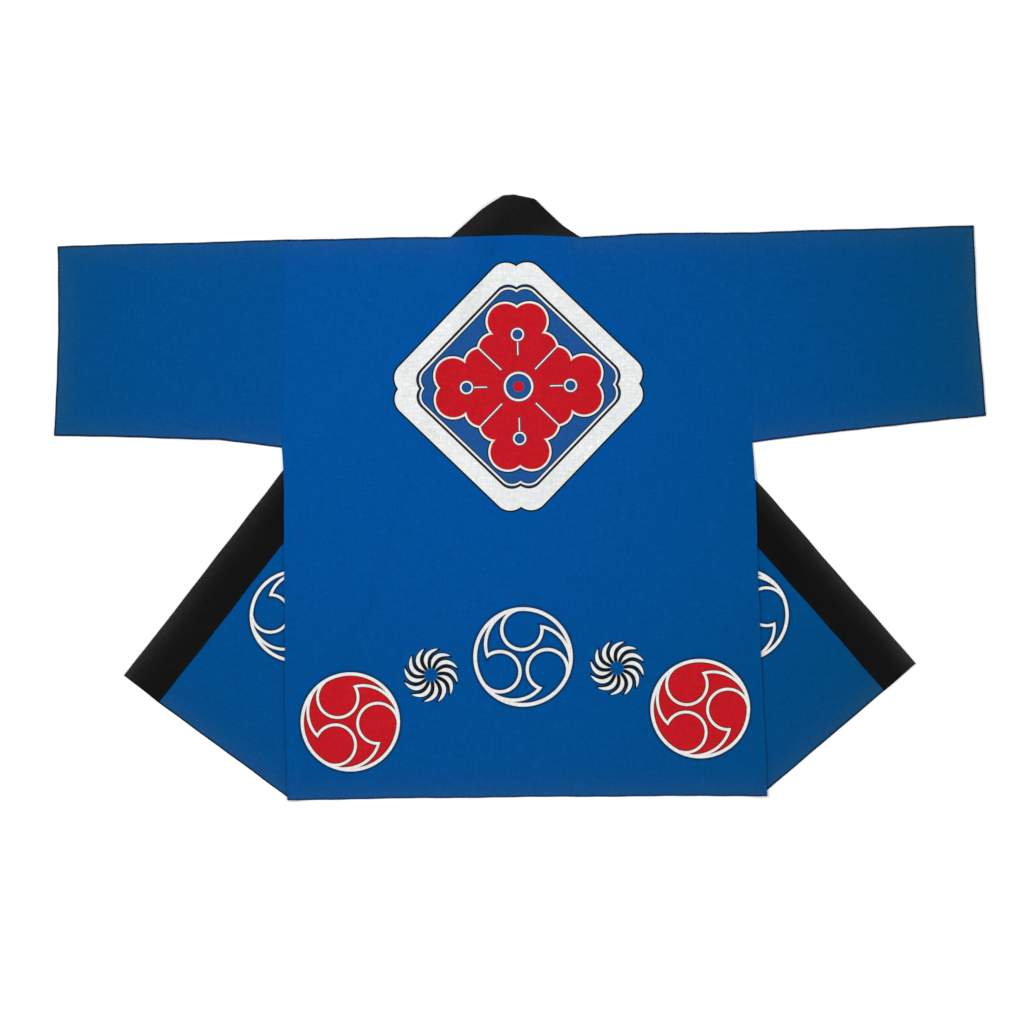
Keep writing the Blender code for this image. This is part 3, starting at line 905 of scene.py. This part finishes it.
def whirl_blades(x, y):
    """Signed distances to the blades and to their dark ground. The middle of a blade turns back
    from its tip by a power of the radius. Its half width is an angle, which falls off from its
    widest place by one power of the way inwards and by another of the way outwards."""
    radius = length_of(x, y)
    angle = y.math("ARCTAN2", x) * (180.0 / math.pi)
    way = ((radius - WHIRL_HOLE) / (WHIRL_RADIUS - WHIRL_HOLE)).math("MAXIMUM", 0.001)
    middle = BLADE_TIP + BLADE_SWEEP * (1.0 - way.math("POWER", BLADE_POWER))
    pitch = 360.0 / BLADES
    off = (angle - middle + 0.5 * pitch).math("FLOORED_MODULO", pitch) - 0.5 * pitch
    inner_way = ((BLADE_MIDDLE - radius) / BLADE_REACHES[0]).math("MAXIMUM", 0.0)
    outer_way = ((radius - BLADE_MIDDLE) / BLADE_REACHES[1]).math("MAXIMUM", 0.0)
    taper = most(inner_way.math("POWER", BLADE_TAPERS[0]), outer_way.math("POWER", BLADE_TAPERS[1]))
    half_angle = (1.0 - taper) * BLADE_ANGLE
    sideways = (abs(off) - half_angle) * radius * (BLADE_SLANT * math.pi / 180.0)
    blades = most(sideways, WHIRL_HOLE - radius, radius - WHIRL_RADIUS)
    ground = most(sideways - GROUND_BESIDE, WHIRL_HOLE + GROUND_START - radius,
                  radius - WHIRL_RADIUS - GROUND_PAST)
    return blades, ground


# Diamond frame, in millimetres from its centre, before it is turned, and the scales at which its
# white band ends and its thin cream line runs
DIAMOND_CENTRE = (-2.1, 157.9)
DIAMOND_TURN = 1.2
LOBE_CENTRE = (14.8, 152.7)
LOBE_RADIUS = 23.5
SIDE_SUM = 200.8
INNER_LINE = 0.819
CREAM_LINE = 0.793

# In millimetres: half the cream line, how far dark reaches beside the lines at the white band's outer
# and inner edges and beside the cream line, and where the white band ends short of its inner edge
CREAM_HALF = 1.35
OUTER_DARK = 2.4
INNER_DARK = 1.1
WHITE_INSET = 1.0
CREAM_DARK = 1.3


def diamond_frame(near, far, scale=1.0):
    """Signed distance to the diamond with notched corners: the circles at its corners joined to
    the area below its sides and between the notches. near and far are the lesser and the greater
    distance from its axes."""
    near, far = near / scale, far / scale
    lobe = length_of(near - LOBE_CENTRE[0], far - LOBE_CENTRE[1]) - LOBE_RADIUS
    side = (near + far - SIDE_SUM) / math.sqrt(2.0)
    notch = (far - near - (LOBE_CENTRE[1] - LOBE_CENTRE[0])) / math.sqrt(2.0)
    return least(lobe, most(side, notch)) * scale


# Flower diamond inside the frame: circles as distance along a petal, distance aside, and radius
PETAL_CIRCLES = ((93.0, 17.0, 25.0), (54.0, 34.0, 21.0), (43.0, 0.0, 37.0), (0.0, 0.0, 34.0))

# Lines of the flower in millimetres, each with its half width last. A split runs outwards from a
# radius, a drop is a ring round a place on the petal's axis, a vein lies on the axis by its middle and
# half length, and the heart is a ring round a blue disc with a red spot. Dark and red keep off a line
PETAL_LINE = 1.5
PETAL_DARK = 1.7
SPLIT_START, SPLIT_HALF = 34.0, 1.1
DROP_PLACE, DROP_RADIUS, DROP_HALF = 74.0, 7.0, 1.3
VEIN_MIDDLE, VEIN_REACH, VEIN_HALF = 54.0, 9.5, 1.0
HEART_RADIUS, HEART_HALF = 19.5, 1.6
HEART_DISC = 18.0
HEART_SPOT = 7.5
LINE_DARK = 1.0
RED_INSET = 1.1


def flower_diamond(near, far):
    """Signed distance to four petals, each a union of circles that lie along and beside its axis."""
    circles = [length_of(far - along_it, near - aside) - radius
               for along_it, aside, radius in PETAL_CIRCLES]
    return least(*circles)


# Emblems as centre x and y, radius of the ring's middle and angle of a head
CENTRE_EMBLEM = (4.3, -226.7, 68.1, 92.5)
RED_EMBLEMS = ((-241.3, -319.1, 68.2, 117.0), (256.2, -300.2, 68.4, 118.8))
FLAP_EMBLEMS = {"left": (-318.8, -168.7, 63.3, 174.0), "right": (315.8, -166.8, 64.0, 18.3)}
WHIRLS = ((-126.6, -252.6), (138.1, -242.8))

# Line widths as shares of an emblem's size, then in millimetres: the soft dark outline past a line,
# how far ink stands raised past it, the red's distance from it, and the warm edge of the white ink.
# Depths are the shares of a colour that is laid over the cloth
OUTLINED_WIDTH = 0.067
RED_WIDTH = 0.059
FLAP_WIDTH = 0.062
OUTLINE = 2.9
OUTLINE_BLUR = 2.8
OUTLINE_DEPTH = 0.68
RAISED_INK = 1.9
RED_START = 1.2
RED_BLUR = 0.8
WARM_WIDTH = 0.45
SCREEN_BLUR = 1.5
SCREEN_DEPTH = 0.6


def back_print(x, y, base):
    """Lay the back's prints over the blue: the diamond with its flower, the outlined emblem
    between two whirls, and the two red emblems."""
    white, dark, red = [], [], []
    left_red, right_red = RED_EMBLEMS
    is_left = x.math("LESS_THAN", 0.5 * (left_red[0] + CENTRE_EMBLEM[0]))
    is_right = x.math("GREATER_THAN", 0.5 * (right_red[0] + CENTRE_EMBLEM[0]))
    is_red = is_left + is_right
    centre = [CENTRE_EMBLEM[part] + is_left * (left_red[part] - CENTRE_EMBLEM[part])
              + is_right * (right_red[part] - CENTRE_EMBLEM[part]) for part in range(4)]
    size = centre[2]
    lines, radius = comma_lines((x - centre[0]) / size, (y - centre[1]) / size, centre[3],
                                OUTLINED_WIDTH - is_red * (OUTLINED_WIDTH - RED_WIDTH))
    lines = lines * size
    white.append(lines)
    not_red = 5.0 - is_red * 10.0
    red_area = most((radius - 1.0) * size, not_red, lines * -1.0)
    side = x.math("GREATER_THAN", 0.5 * (WHIRLS[0][0] + WHIRLS[1][0]))
    whirl_x = side * (WHIRLS[1][0] - WHIRLS[0][0]) + WHIRLS[0][0]
    whirl_y = side * (WHIRLS[1][1] - WHIRLS[0][1]) + WHIRLS[0][1]
    blades, ground = whirl_blades(x - whirl_x, y - whirl_y)
    white.append(blades)
    dark.append(ground)
    u, v = turned_by(x - DIAMOND_CENTRE[0], y - DIAMOND_CENTRE[1], DIAMOND_TURN)
    near, far = least(abs(u), abs(v)), most(abs(u), abs(v))
    outer = diamond_frame(near, far)
    inner = diamond_frame(near, far, INNER_LINE)
    petals = flower_diamond(near, far)
    cream = most(abs(diamond_frame(near, far, CREAM_LINE)) - CREAM_HALF, petals * -1.0)
    white.extend((most(outer, WHITE_INSET - inner), cream))
    dark.extend((abs(outer) - OUTER_DARK, abs(inner) - INNER_DARK, cream - CREAM_DARK))
    radius = length_of(near, far)
    split = most((far - near) / math.sqrt(2.0) - SPLIT_HALF, SPLIT_START - radius, petals)
    drop = length_of(far - DROP_PLACE, near) - DROP_RADIUS
    vein = most(near - VEIN_HALF, abs(far - VEIN_MIDDLE) - VEIN_REACH)
    heart = abs(radius - HEART_RADIUS) - HEART_HALF
    lines_inside = least(split, abs(drop - DROP_HALF) - DROP_HALF, vein, heart)
    petal_line = abs(petals - PETAL_LINE) - PETAL_LINE
    white.extend((petal_line, lines_inside))
    dark.extend((petal_line - PETAL_DARK, lines_inside - LINE_DARK))
    red.append(most(red_area, RED_START - lines))
    red.append(most(petals, RED_INSET - lines_inside, drop * -1.0, HEART_DISC - radius))
    red.append(radius - HEART_SPOT)
    inked = [least(*group) for group in (dark, red, white)]
    colour = over(base, SCREEN_BLUE, within(inner, SCREEN_BLUR) * SCREEN_DEPTH)
    colour = over(colour, NAVY, within(lines - OUTLINE, OUTLINE_BLUR) * OUTLINE_DEPTH)
    colour = over(colour, NAVY, within(inked[0]))
    colour = over(colour, DARK_RED, within(red_area))
    colour = over(colour, RED, within(inked[1], RED_BLUR))
    colour = over(colour, WARM_EDGE, within(inked[2]))
    return over(colour, CREAM, within(inked[2] + WARM_WIDTH)), least(*inked)


def flap_print(side):
    """Return the print of one turned front: the outlined emblem, partly under the back."""
    centre_x, centre_y, size, turn = FLAP_EMBLEMS[side]

    def lay(x, y, base):
        lines, _ = comma_lines((x - centre_x) / size, (y - centre_y) / size, turn, FLAP_WIDTH)
        lines = lines * size
        colour = over(base, NAVY, within(lines - OUTLINE, OUTLINE_BLUR) * OUTLINE_DEPTH)
        colour = over(colour, WARM_EDGE, within(lines))
        return over(colour, CREAM, within(lines + WARM_WIDTH)), lines - RAISED_INK
    return lay


def no_print(x, y, base):
    """Leave the cloth bare, with no ink and so no distance to it."""
    return base, None


# Weave in millimetres: a thread's width, the size of its uneven streaks and of its thick places, the
# noise above which a thread is thick, and the size of fine and of broad patches
THREAD = 0.62
STREAK = (1.5, 34.0)
SLUB = (2.0, 7.5)
SLUB_LEVEL = 0.17
MOTTLE = 6.5
BROAD = 91.0

# Shares of the weave's parts in a cloth's shade and in its height, which is in millimetres
Weave = namedtuple("Weave", "bumps streaks slubs mottle broad")
BLUE_SHADE = {"streaks": 0.28, "mottle": 0.24, "broad": 0.10, "bumps": 0.05, "slubs": 0.16}
BLUE_HEIGHT = {"bumps": 0.10, "streaks": 0.16, "slubs": 0.06, "mottle": 0.22}
BLACK_SHADE = {"streaks": 0.7, "mottle": 1.1, "broad": 0.7, "bumps": 0.08, "slubs": 0.2}
BLACK_HEIGHT = {"bumps": 0.12, "streaks": 0.18, "mottle": 0.25}

# Blue grows darker and dull away from a middle, by the square of the way over a reach, which is
# painted light falloff, and also beside the outline and along a stripe across the coat. Lengths are in
# millimetres, and the last four numbers are how much the outline, the stripe and broad patches dull it,
# and how far the outline fades it
FALLOFF_MIDDLE = (-100.0, 124.0)
FALLOFF_REACH = (775.0, 960.0)
EDGE_REACH = 14.0
DULL_STRIPE, STRIPE_REACH = -235.0, 60.0
EDGE_DULL = 0.14
STRIPE_DULL = 0.09
BROAD_DULL = 0.3
EDGE_FADE = 0.10

# The dark line on the outline, which is painted shadow, in millimetres, its depth and how uneven it is,
# the strip at the hem where it is fainter, the turned cloth beside a seam and how far it stands up, and
# the darker row along the stitches, which is painted shade in the groove there
RIM_WIDTH = 2.6
RIM_BLUR = 1.3
RIM_DEPTH = 0.75
RIM_UNEVEN = 1.5
RIM_FAINT_HEM = 3.0
ALLOWANCE = 4.0
ALLOWANCE_BLUR = 9.0
ALLOWANCE_HEIGHT = 0.03
SEWN_HALF = 0.5
SEWN_BLUR = 0.9
SEWN_GROOVE_SHADE = 0.04

# Printed ink: the blur of its edge and its height in millimetres, and how much smoother it is
INK_BLUR = 0.6
INK_HEIGHT = 0.06
INK_SMOOTH = 0.12

# Roughness of each cloth and how much its patches change it, and its gloss
BLUE_ROUGH = (0.90, 0.12)
BLACK_ROUGH = (0.86, 0.15)
THREAD_ROUGH = (0.7, 0.05)
BLUE_GLOSS = 0.014
BLACK_GLOSS = 0.09
THREAD_GLOSS = 0.2

# Behind the neck the black band grows paler by the square of the way from its darkest place over a
# reach, in millimetres, up to a limit. The stretch is a share of half the band's length, and the last
# number is how much paler it grows
NECK_SHIFT = 22.0
NECK_REACH = 50.0
NECK_MOST = 1.6
NECK_SHARE = 0.16
NECK_PALE = 0.67

# Elsewhere the band is darkest along its seam and paler outwards by a power of the way across. A
# painted sheen with random patches greys it towards its ends, and a painted highlight pales a narrow
# strip along its edges, in millimetres
INNER_SHADE = 0.29
OUTWARD_GAIN = 2.3
OUTWARD_POWER = 5.0
BAND_SHEEN_AND_WEAR = 0.85
BAND_RIM = 1.2
BAND_RIM_BLUR = 1.6
BAND_RIM_HIGHLIGHT = 0.2

# How each piece looks: how dull it is all over, how bright it is, how deep its hem is, how much of the
# painted shadow on its outline fades along the hem, and how much paler it is beside its seams
Wear = namedtuple("Wear", "dull shade hem_depth hem_rim seam")
WORN_AND_SHADED = {
    "back": Wear(0.044, 1.0, HEM_DEPTH, 0.25, 0.0),
    # Painted shade: the left sleeve's added dullness and lower brightness even out the key lamp's extra
    # light on that side
    "sleeve_left": Wear(0.190, 0.972, CUFF_DEPTH, 0.0, 0.028),
    "sleeve_right": Wear(0.017, 1.0, CUFF_DEPTH, 0.0, 0.0),
    "front_left": Wear(0.105, 1.0, HEM_DEPTH, 0.0, 0.0),
    "front_right": Wear(0.065, 1.0, HEM_DEPTH, 0.0, 0.0),
}


def drawn_noise(finish, cloth, size, detail=2.0):
    """Noise about zero, drawn out to a size in millimetres along each set of threads."""
    stretched = finish.node("ShaderNodeVectorMath", {"operation": "MULTIPLY"},
                            {0: cloth, 1: (1.0 / size[0], 1.0 / size[1], 1.0)})
    return finish.node("ShaderNodeTexNoise", None,
                       {"Vector": stretched, "Scale": 1.0, "Detail": detail}, "Fac") - 0.5


def weave_of(finish):
    """Plain weave from the cloth's own coordinates: the product of two sines, one across each set
    of threads, thick and thin threads as noise drawn out along each set, and a few slubs where
    such a noise is highest."""
    cloth = stored(finish, "cloth")
    across, along_it, _ = cloth.parts()
    pitch = math.pi / THREAD
    bumps = (across * pitch).math("SINE") * (along_it * pitch).math("SINE")
    streaks = drawn_noise(finish, cloth, STREAK) + drawn_noise(finish, cloth, STREAK[::-1])
    slubs = [(drawn_noise(finish, cloth, size, detail=0.0) - SLUB_LEVEL).math("MULTIPLY", 12.0, clamp=True)
             for size in (SLUB, SLUB[::-1])]
    mottle = drawn_noise(finish, cloth, (MOTTLE, MOTTLE), detail=3.0)
    broad = drawn_noise(finish, cloth, (BROAD, BROAD), detail=1.0)
    return Weave(bumps, streaks, most(*slubs), mottle, broad)


def mixed(weave, shares):
    """Sum of the weave's parts, each times its share."""
    first, *others = [getattr(weave, part) * share for part, share in shares.items()]
    return sum(others, first)


def scaled(colour, factor):
    """Multiply a colour by a number that varies."""
    colour = colour if isinstance(colour, Wire) else colour[:3]
    return factor.finish.node("ShaderNodeVectorMath", {"operation": "SCALE"}, {0: colour, "Scale": factor})


def blue_cotton(name, lay_print, wear_and_light):
    """Blue cotton: darker and duller by the square of the way towards the cuffs and the hem, a painted
    light falloff, woven, faded beside its outline and with a painted shadow line on it, paler beside its
    seams where its table row says so, with its print in slightly raised ink on the outer side only."""
    finish = Finish(name)
    place = finish.node("ShaderNodeTexCoord", output="Object").parts()
    x, y = place[0] / MM, place[1] / MM
    weave = weave_of(finish)
    rim, seam, hem = stored(finish, "lines").parts()
    outside = stored(finish, "outside", "Fac")
    # Painted light falloff: the square of the way from the middle makes the blue darker and duller towards
    # the cuffs and the hem
    sideways, upright = (x - FALLOFF_MIDDLE[0]) / FALLOFF_REACH[0], (y - FALLOFF_MIDDLE[1]) / FALLOFF_REACH[1]
    edge_way, stripe_way = rim / EDGE_REACH, (y - DULL_STRIPE) / STRIPE_REACH
    near_edge = (edge_way * edge_way + 1.0).math("POWER", -1.0)
    near_stripe = (stripe_way * stripe_way + 1.0).math("POWER", -1.0)
    dull = (sideways * sideways + upright * upright + near_edge * EDGE_DULL + near_stripe * STRIPE_DULL
            + weave.broad * BROAD_DULL + wear_and_light.dull)
    base = over(BLUE, DULL_BLUE, dull.math("MULTIPLY", 1.0, clamp=True))
    base = over(base, FADED_BLUE, near_edge * EDGE_FADE)
    # Painted shadow: a dark, uneven navy line along the outline, fainter along the back's hem
    rim_shadow_share = RIM_DEPTH + weave.mottle * RIM_UNEVEN - within(hem - RIM_FAINT_HEM, 1.0) * wear_and_light.hem_rim
    painted_rim_shadow = within(rim - RIM_WIDTH, RIM_BLUR) * rim_shadow_share
    base = over(base, NAVY, painted_rim_shadow.math("MULTIPLY", 1.0, clamp=True))
    allowance = within(seam - ALLOWANCE, ALLOWANCE_BLUR)
    # Painted shade: a darker row along the stitches, where the turned hem's groove runs
    sewn = within(abs(hem - wear_and_light.hem_depth) - SEWN_HALF, SEWN_BLUR)
    shade = mixed(weave, BLUE_SHADE) + wear_and_light.shade + allowance * wear_and_light.seam - sewn * SEWN_GROOVE_SHADE
    inked, ink_distance = lay_print(x, y, base)
    if ink_distance is not None:
        inked = over(base, inked, outside)
    finish.feed(finish.shader.inputs["Base Color"], scaled(inked, shade))
    height = mixed(weave, BLUE_HEIGHT) + allowance * ALLOWANCE_HEIGHT
    rough = BLUE_ROUGH[0] + weave.mottle * BLUE_ROUGH[1]
    if ink_distance is not None:
        ink = within(ink_distance, INK_BLUR) * outside
        height = height + ink * INK_HEIGHT
        rough = rough - ink * INK_SMOOTH
    finish.feed(finish.shader.inputs["Roughness"], rough)
    finish_surface(finish, height, BLUE_GLOSS)
    return finish.material


def finish_surface(finish, height, level):
    """Bump from a height in millimetres, and the cotton's low gloss and faint sheen."""
    bump = finish.node("ShaderNodeBump", None, {"Height": height, "Distance": MM, "Strength": 0.55},
                       "Normal")
    finish.feed(finish.shader.inputs["Normal"], bump)
    finish.shader.inputs["Specular IOR Level"].default_value = level
    finish.shader.inputs["Sheen Weight"].default_value = 0.005
    finish.shader.inputs["Sheen Roughness"].default_value = 0.6


def black_cotton(name, length):
    """Black cotton band, greyer by the square of the way towards its two ends, a painted sheen, and a
    little paler along its edges, a painted highlight. It is paler towards its outer edge by a power of the
    way across, and behind the neck to both sides of its darkest place by the square of the way."""
    finish = Finish(name)
    weave = weave_of(finish)
    across, run, _ = stored(finish, "cloth").parts()
    rim = stored(finish, "lines").parts()[0]
    from_middle = abs(run / (0.5 * length) - 1.0)
    # Painted sheen: greyer by the square of the way towards the band's ends, with random patches
    wear_and_light = from_middle * from_middle + weave.broad * 0.4 + weave.mottle * 0.5
    base = over(BLACK, SHEEN_AND_WORN_BLACK, wear_and_light.math("MULTIPLY", BAND_SHEEN_AND_WEAR, clamp=True))
    neck_way = (run - 0.5 * length - NECK_SHIFT) / NECK_REACH
    at_neck = within(from_middle - NECK_SHARE, 0.01)
    neck = (neck_way * neck_way).math("MINIMUM", NECK_MOST) * at_neck
    outwards = (across / BAND_WIDTH).math("POWER", OUTWARD_POWER) * OUTWARD_GAIN + INNER_SHADE
    # Painted highlight: a narrow paler strip along the band's edges
    edge = within(rim - BAND_RIM, BAND_RIM_BLUR)
    shade = mixed(weave, BLACK_SHADE) + edge * BAND_RIM_HIGHLIGHT + neck * NECK_PALE + 1.0
    shade = shade * ((outwards - 1.0) * (1.0 - at_neck) + 1.0)
    finish.feed(finish.shader.inputs["Base Color"], scaled(base, shade))
    finish.feed(finish.shader.inputs["Roughness"], BLACK_ROUGH[0] + weave.mottle * BLACK_ROUGH[1])
    finish_surface(finish, mixed(weave, BLACK_HEIGHT), BLACK_GLOSS)
    return finish.material


def thread(name, colour):
    """Sewing thread: its strands run round it as a fine slanted wave."""
    finish = Finish(name)
    place = finish.node("ShaderNodeTexCoord", output="Object").parts()
    twist = ((place[0] + place[1]) * (2.0 * math.pi / (0.35 * MM))).math("SINE")
    finish.feed(finish.shader.inputs["Base Color"], scaled(colour, twist * 0.15 + 1.0))
    finish.feed(finish.shader.inputs["Roughness"], THREAD_ROUGH[0] + twist * THREAD_ROUGH[1])
    finish_surface(finish, twist * 0.04, THREAD_GLOSS)
    return finish.material


# Stitches in millimetres
STITCH_PITCH = 3.4
STITCH_LENGTH = 2.5
STITCH_RADIUS = 0.2
STITCH_SIDES = 6
STITCH_RINGS = ((0.0, 0.45), (0.12, 0.9), (0.5, 1.0), (0.88, 0.9), (1.0, 0.45))

# How deep the stitches sit in the turned hems and in the band, and their row's way in from the seam
HEM_BITE = 0.14
BAND_BITE = 0.12
BAND_ROW = 3.0


def stitch_row(name, path, surfaces, finish):
    """A row of stitches along flat places: one short thread is a tube of a few rings whose middle
    stands highest, and it is repeated at each pitch, turned along the path and set on the cloth."""
    ring_share, ring_size = np.array(STITCH_RINGS).T
    angle = 2.0 * math.pi * np.arange(STITCH_SIDES) / STITCH_SIDES
    tube = np.empty((len(STITCH_RINGS), STITCH_SIDES, 3))
    tube[..., 0] = ((ring_share - 0.5) * STITCH_LENGTH)[:, None]
    tube[..., 1] = ring_size[:, None] * STITCH_RADIUS * np.cos(angle)
    tube[..., 2] = ring_size[:, None] * STITCH_RADIUS * np.sin(angle)
    tube[..., 2] += (STITCH_RADIUS * (1.0 - (2.0 * ring_share - 1.0) ** 2))[:, None]
    way = way_along(path)
    at = np.arange(0.5 * STITCH_PITCH, way[-1], STITCH_PITCH)
    centre = places_on(path, way, at)
    ahead = unit(places_on(path, way, at + 0.5) - places_on(path, way, at - 0.5))
    aside = np.stack([-ahead[:, 1], ahead[:, 0]], axis=-1)
    flat = (centre[:, None, None] + tube[None, ..., :1] * ahead[:, None, None]
            + tube[None, ..., 1:2] * aside[:, None, None])
    piece, lift = surfaces
    height = layer_floors(centre)[piece.layer] + 0.5 * piece.thick + lift
    flat = flat + ripple(centre)[:, None, None]
    places = np.concatenate([flat, tube[None, ..., 2:] + height[:, None, None, None]], axis=-1)
    each = len(STITCH_RINGS) * STITCH_SIDES
    number = np.arange(each).reshape(len(STITCH_RINGS), STITCH_SIDES)
    turned = np.roll(number, -1, axis=1)
    walls = np.stack([turned[:-1], turned[1:], number[1:], number[:-1]], axis=-1).reshape(-1, 4)
    offsets = (np.arange(len(at)) * each)[:, None]
    faces = []
    for face in (*walls, number[0][::-1], number[-1]):
        faces.extend((offsets + face).tolist())
    mesh = bpy.data.meshes.new(name)
    mesh.from_pydata((places.reshape(-1, 3) * MM).tolist(), [], faces)
    shape = bmesh.new()
    shape.from_mesh(mesh)
    bmesh.ops.recalc_face_normals(shape, faces=shape.faces)
    shape.to_mesh(mesh)
    shape.free()
    mesh.shade_smooth()
    return placed(name, mesh, finish)


def beside(names, depth, piece, trim=3.0):
    """Flat places on a line that lies a depth inside an outline edge, a little short of its ends."""
    start, end = CORNERS[names[0]], CORNERS[names[-1]]
    run = unit(end - start)
    push = inward(piece, names[0], names[-1]) if len(names) == 2 else depth_side(piece, run, start)
    return np.array((start + push * depth + run * trim, end + push * depth - run * trim))


def depth_side(piece, run, start):
    """Direction square to a run that points to the panel's middle."""
    side = np.array((-run[1], run[0]))
    return side * math.copysign(1.0, side @ (ring(piece).mean(axis=0) - start))


def stage():
    """Pale floor under the coat."""
    mesh = bpy.data.meshes.new("floor")
    size = 8.0
    mesh.from_pydata([(-size, -size, 0.0), (size, -size, 0.0), (size, size, 0.0), (-size, size, 0.0)],
                     [], [(0, 1, 2, 3)])
    finish = Finish("floor_paper")
    place = finish.node("ShaderNodeTexCoord", output="Object")
    grain = finish.node("ShaderNodeTexNoise", None, {"Vector": place, "Scale": 40.0, "Detail": 3.0}, "Fac")
    finish.feed(finish.shader.inputs["Base Color"], scaled(FLOOR_WHITE, (grain - 0.5) * 0.01 + 1.0))
    finish.shader.inputs["Roughness"].default_value = 0.9
    finish.shader.inputs["Specular IOR Level"].default_value = 0.1
    mesh.materials.append(finish.material)
    linked("floor", mesh)


def lamp(name, place, aim, size, power):
    """A broad square lamp that faces a point."""
    data = bpy.data.lights.new(name, "AREA")
    data.shape = "SQUARE"
    data.size = size
    data.energy = power
    made = linked(name, data)
    made.location = place
    direction = np.array(aim) - np.array(place)
    made.rotation_euler = (math.atan2(math.hypot(direction[0], direction[1]), -direction[2]), 0.0,
                           math.atan2(direction[1], direction[0]) - 0.5 * math.pi)


# Camera straight above the coat: its place in metres, its lens and its height
CAMERA_PLACE = (-0.0114, -0.0206)
CAMERA_HEIGHT = 4.046
CAMERA_LENS = 100.0


def camera():
    """A camera that looks straight down on the laid coat."""
    data = bpy.data.cameras.new("camera")
    data.lens = CAMERA_LENS
    data.sensor_width = 36.0
    made = linked("camera", data)
    made.location = (*CAMERA_PLACE, CAMERA_HEIGHT)
    bpy.context.scene.camera = made


def light():
    """Soft light from all round and two broad lamps."""
    world = bpy.data.worlds.new("studio")
    world.use_nodes = True
    background = world.node_tree.nodes["Background"]
    background.inputs["Color"].default_value = (1.0, 1.0, 1.0, 1.0)
    background.inputs["Strength"].default_value = 0.55
    bpy.context.scene.world = world
    bpy.context.scene.view_settings.view_transform = "Standard"
    lamp("key_lamp", (-2.4, 1.6, 2.6), (0.0, 0.0, 0.0), 1.6, 100.0)
    lamp("fill_lamp", (2.6, -1.4, 2.8), (0.0, 0.0, 0.0), 2.0, 60.0)


def dressed(name, node, sheet, finish, flat):
    """Make one sewn piece with its cut, which stands for its plain solid, and hide that solid."""
    piece = placed(name, cloth_mesh(name, sheet), finish)
    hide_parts(node)
    return piece


def coat():
    """Make the six sewn pieces and their sewing."""
    blue_thread = thread("blue_thread", THREAD_BLUE)
    black_thread = thread("black_thread", THREAD_BLACK)
    hem_lift = 0.5 * HEM_SHELL - HEM_BITE
    back = PANELS["back"]
    trim = 3.0
    hem_line = np.array((CORNERS["hem_l"], CORNERS["hem_r"])) + ((trim, HEM_DEPTH), (-trim, HEM_DEPTH))
    rows = [stitch_row("back_hem_stitches", hem_line, (back, hem_lift), blue_thread)]
    dressed("back_cloth", "back", back_sheet(), blue_cotton("blue_cotton_back", back_print, WORN_AND_SHADED["back"]),
            (0.690, 0.808))
    for side in ("left", "right"):
        tag = "_" + side[0]
        sleeve = PANELS["sleeve_top" + tag]
        cuff = beside(tagged(tag, "cuff_low", "cuff_mid", "cuff_top"), CUFF_DEPTH, sleeve)
        rows = [stitch_row("cuff_stitches_" + side, cuff, (sleeve, hem_lift), blue_thread)]
        finish = blue_cotton("blue_cotton_sleeve_" + side, no_print, WORN_AND_SHADED["sleeve_" + side])
        dressed("sleeve_" + side + "_cloth", "sleeve_" + side, sleeve_sheet(side), finish,
                (0.60, 0.335))
        upper, lower = PANELS["laid_front" + tag], PANELS["turned_front" + tag]
        hem = beside(tagged(tag, "flap_seam", "fold_hem"), HEM_DEPTH, lower, 12.0)
        rows = [stitch_row("flap_hem_stitches_" + side, hem, (lower, hem_lift), blue_thread)]
        finish = blue_cotton("blue_cotton_front_" + side, flap_print(side), WORN_AND_SHADED["front_" + side])
        dressed("front_" + side + "_cloth", "front_" + side, front_sheet(side), finish,
                (0.250, 0.815))
    band_lift = 0.5 * SHELL[BAND] - BAND_BITE
    rows = []
    for side in ("left", "right"):
        tag = "_" + side[0]
        turned = PANELS["turned_collar" + tag]
        line = beside(tagged(tag, "flap_seam", "fold_neck"), BAND_ROW, turned, 10.0)
        rows.append(stitch_row("collar_stitches_" + side, line, (turned, band_lift), black_thread))
    sheet, length = collar_sheet()
    area = sum(abs(area_of(piece)) for piece in PANELS.values() if piece.node == "collar")
    dressed("collar_band", "collar", sheet, black_cotton("black_cotton", length),
            (0.066, length * MM))


camera()
stage()
light()
coat()
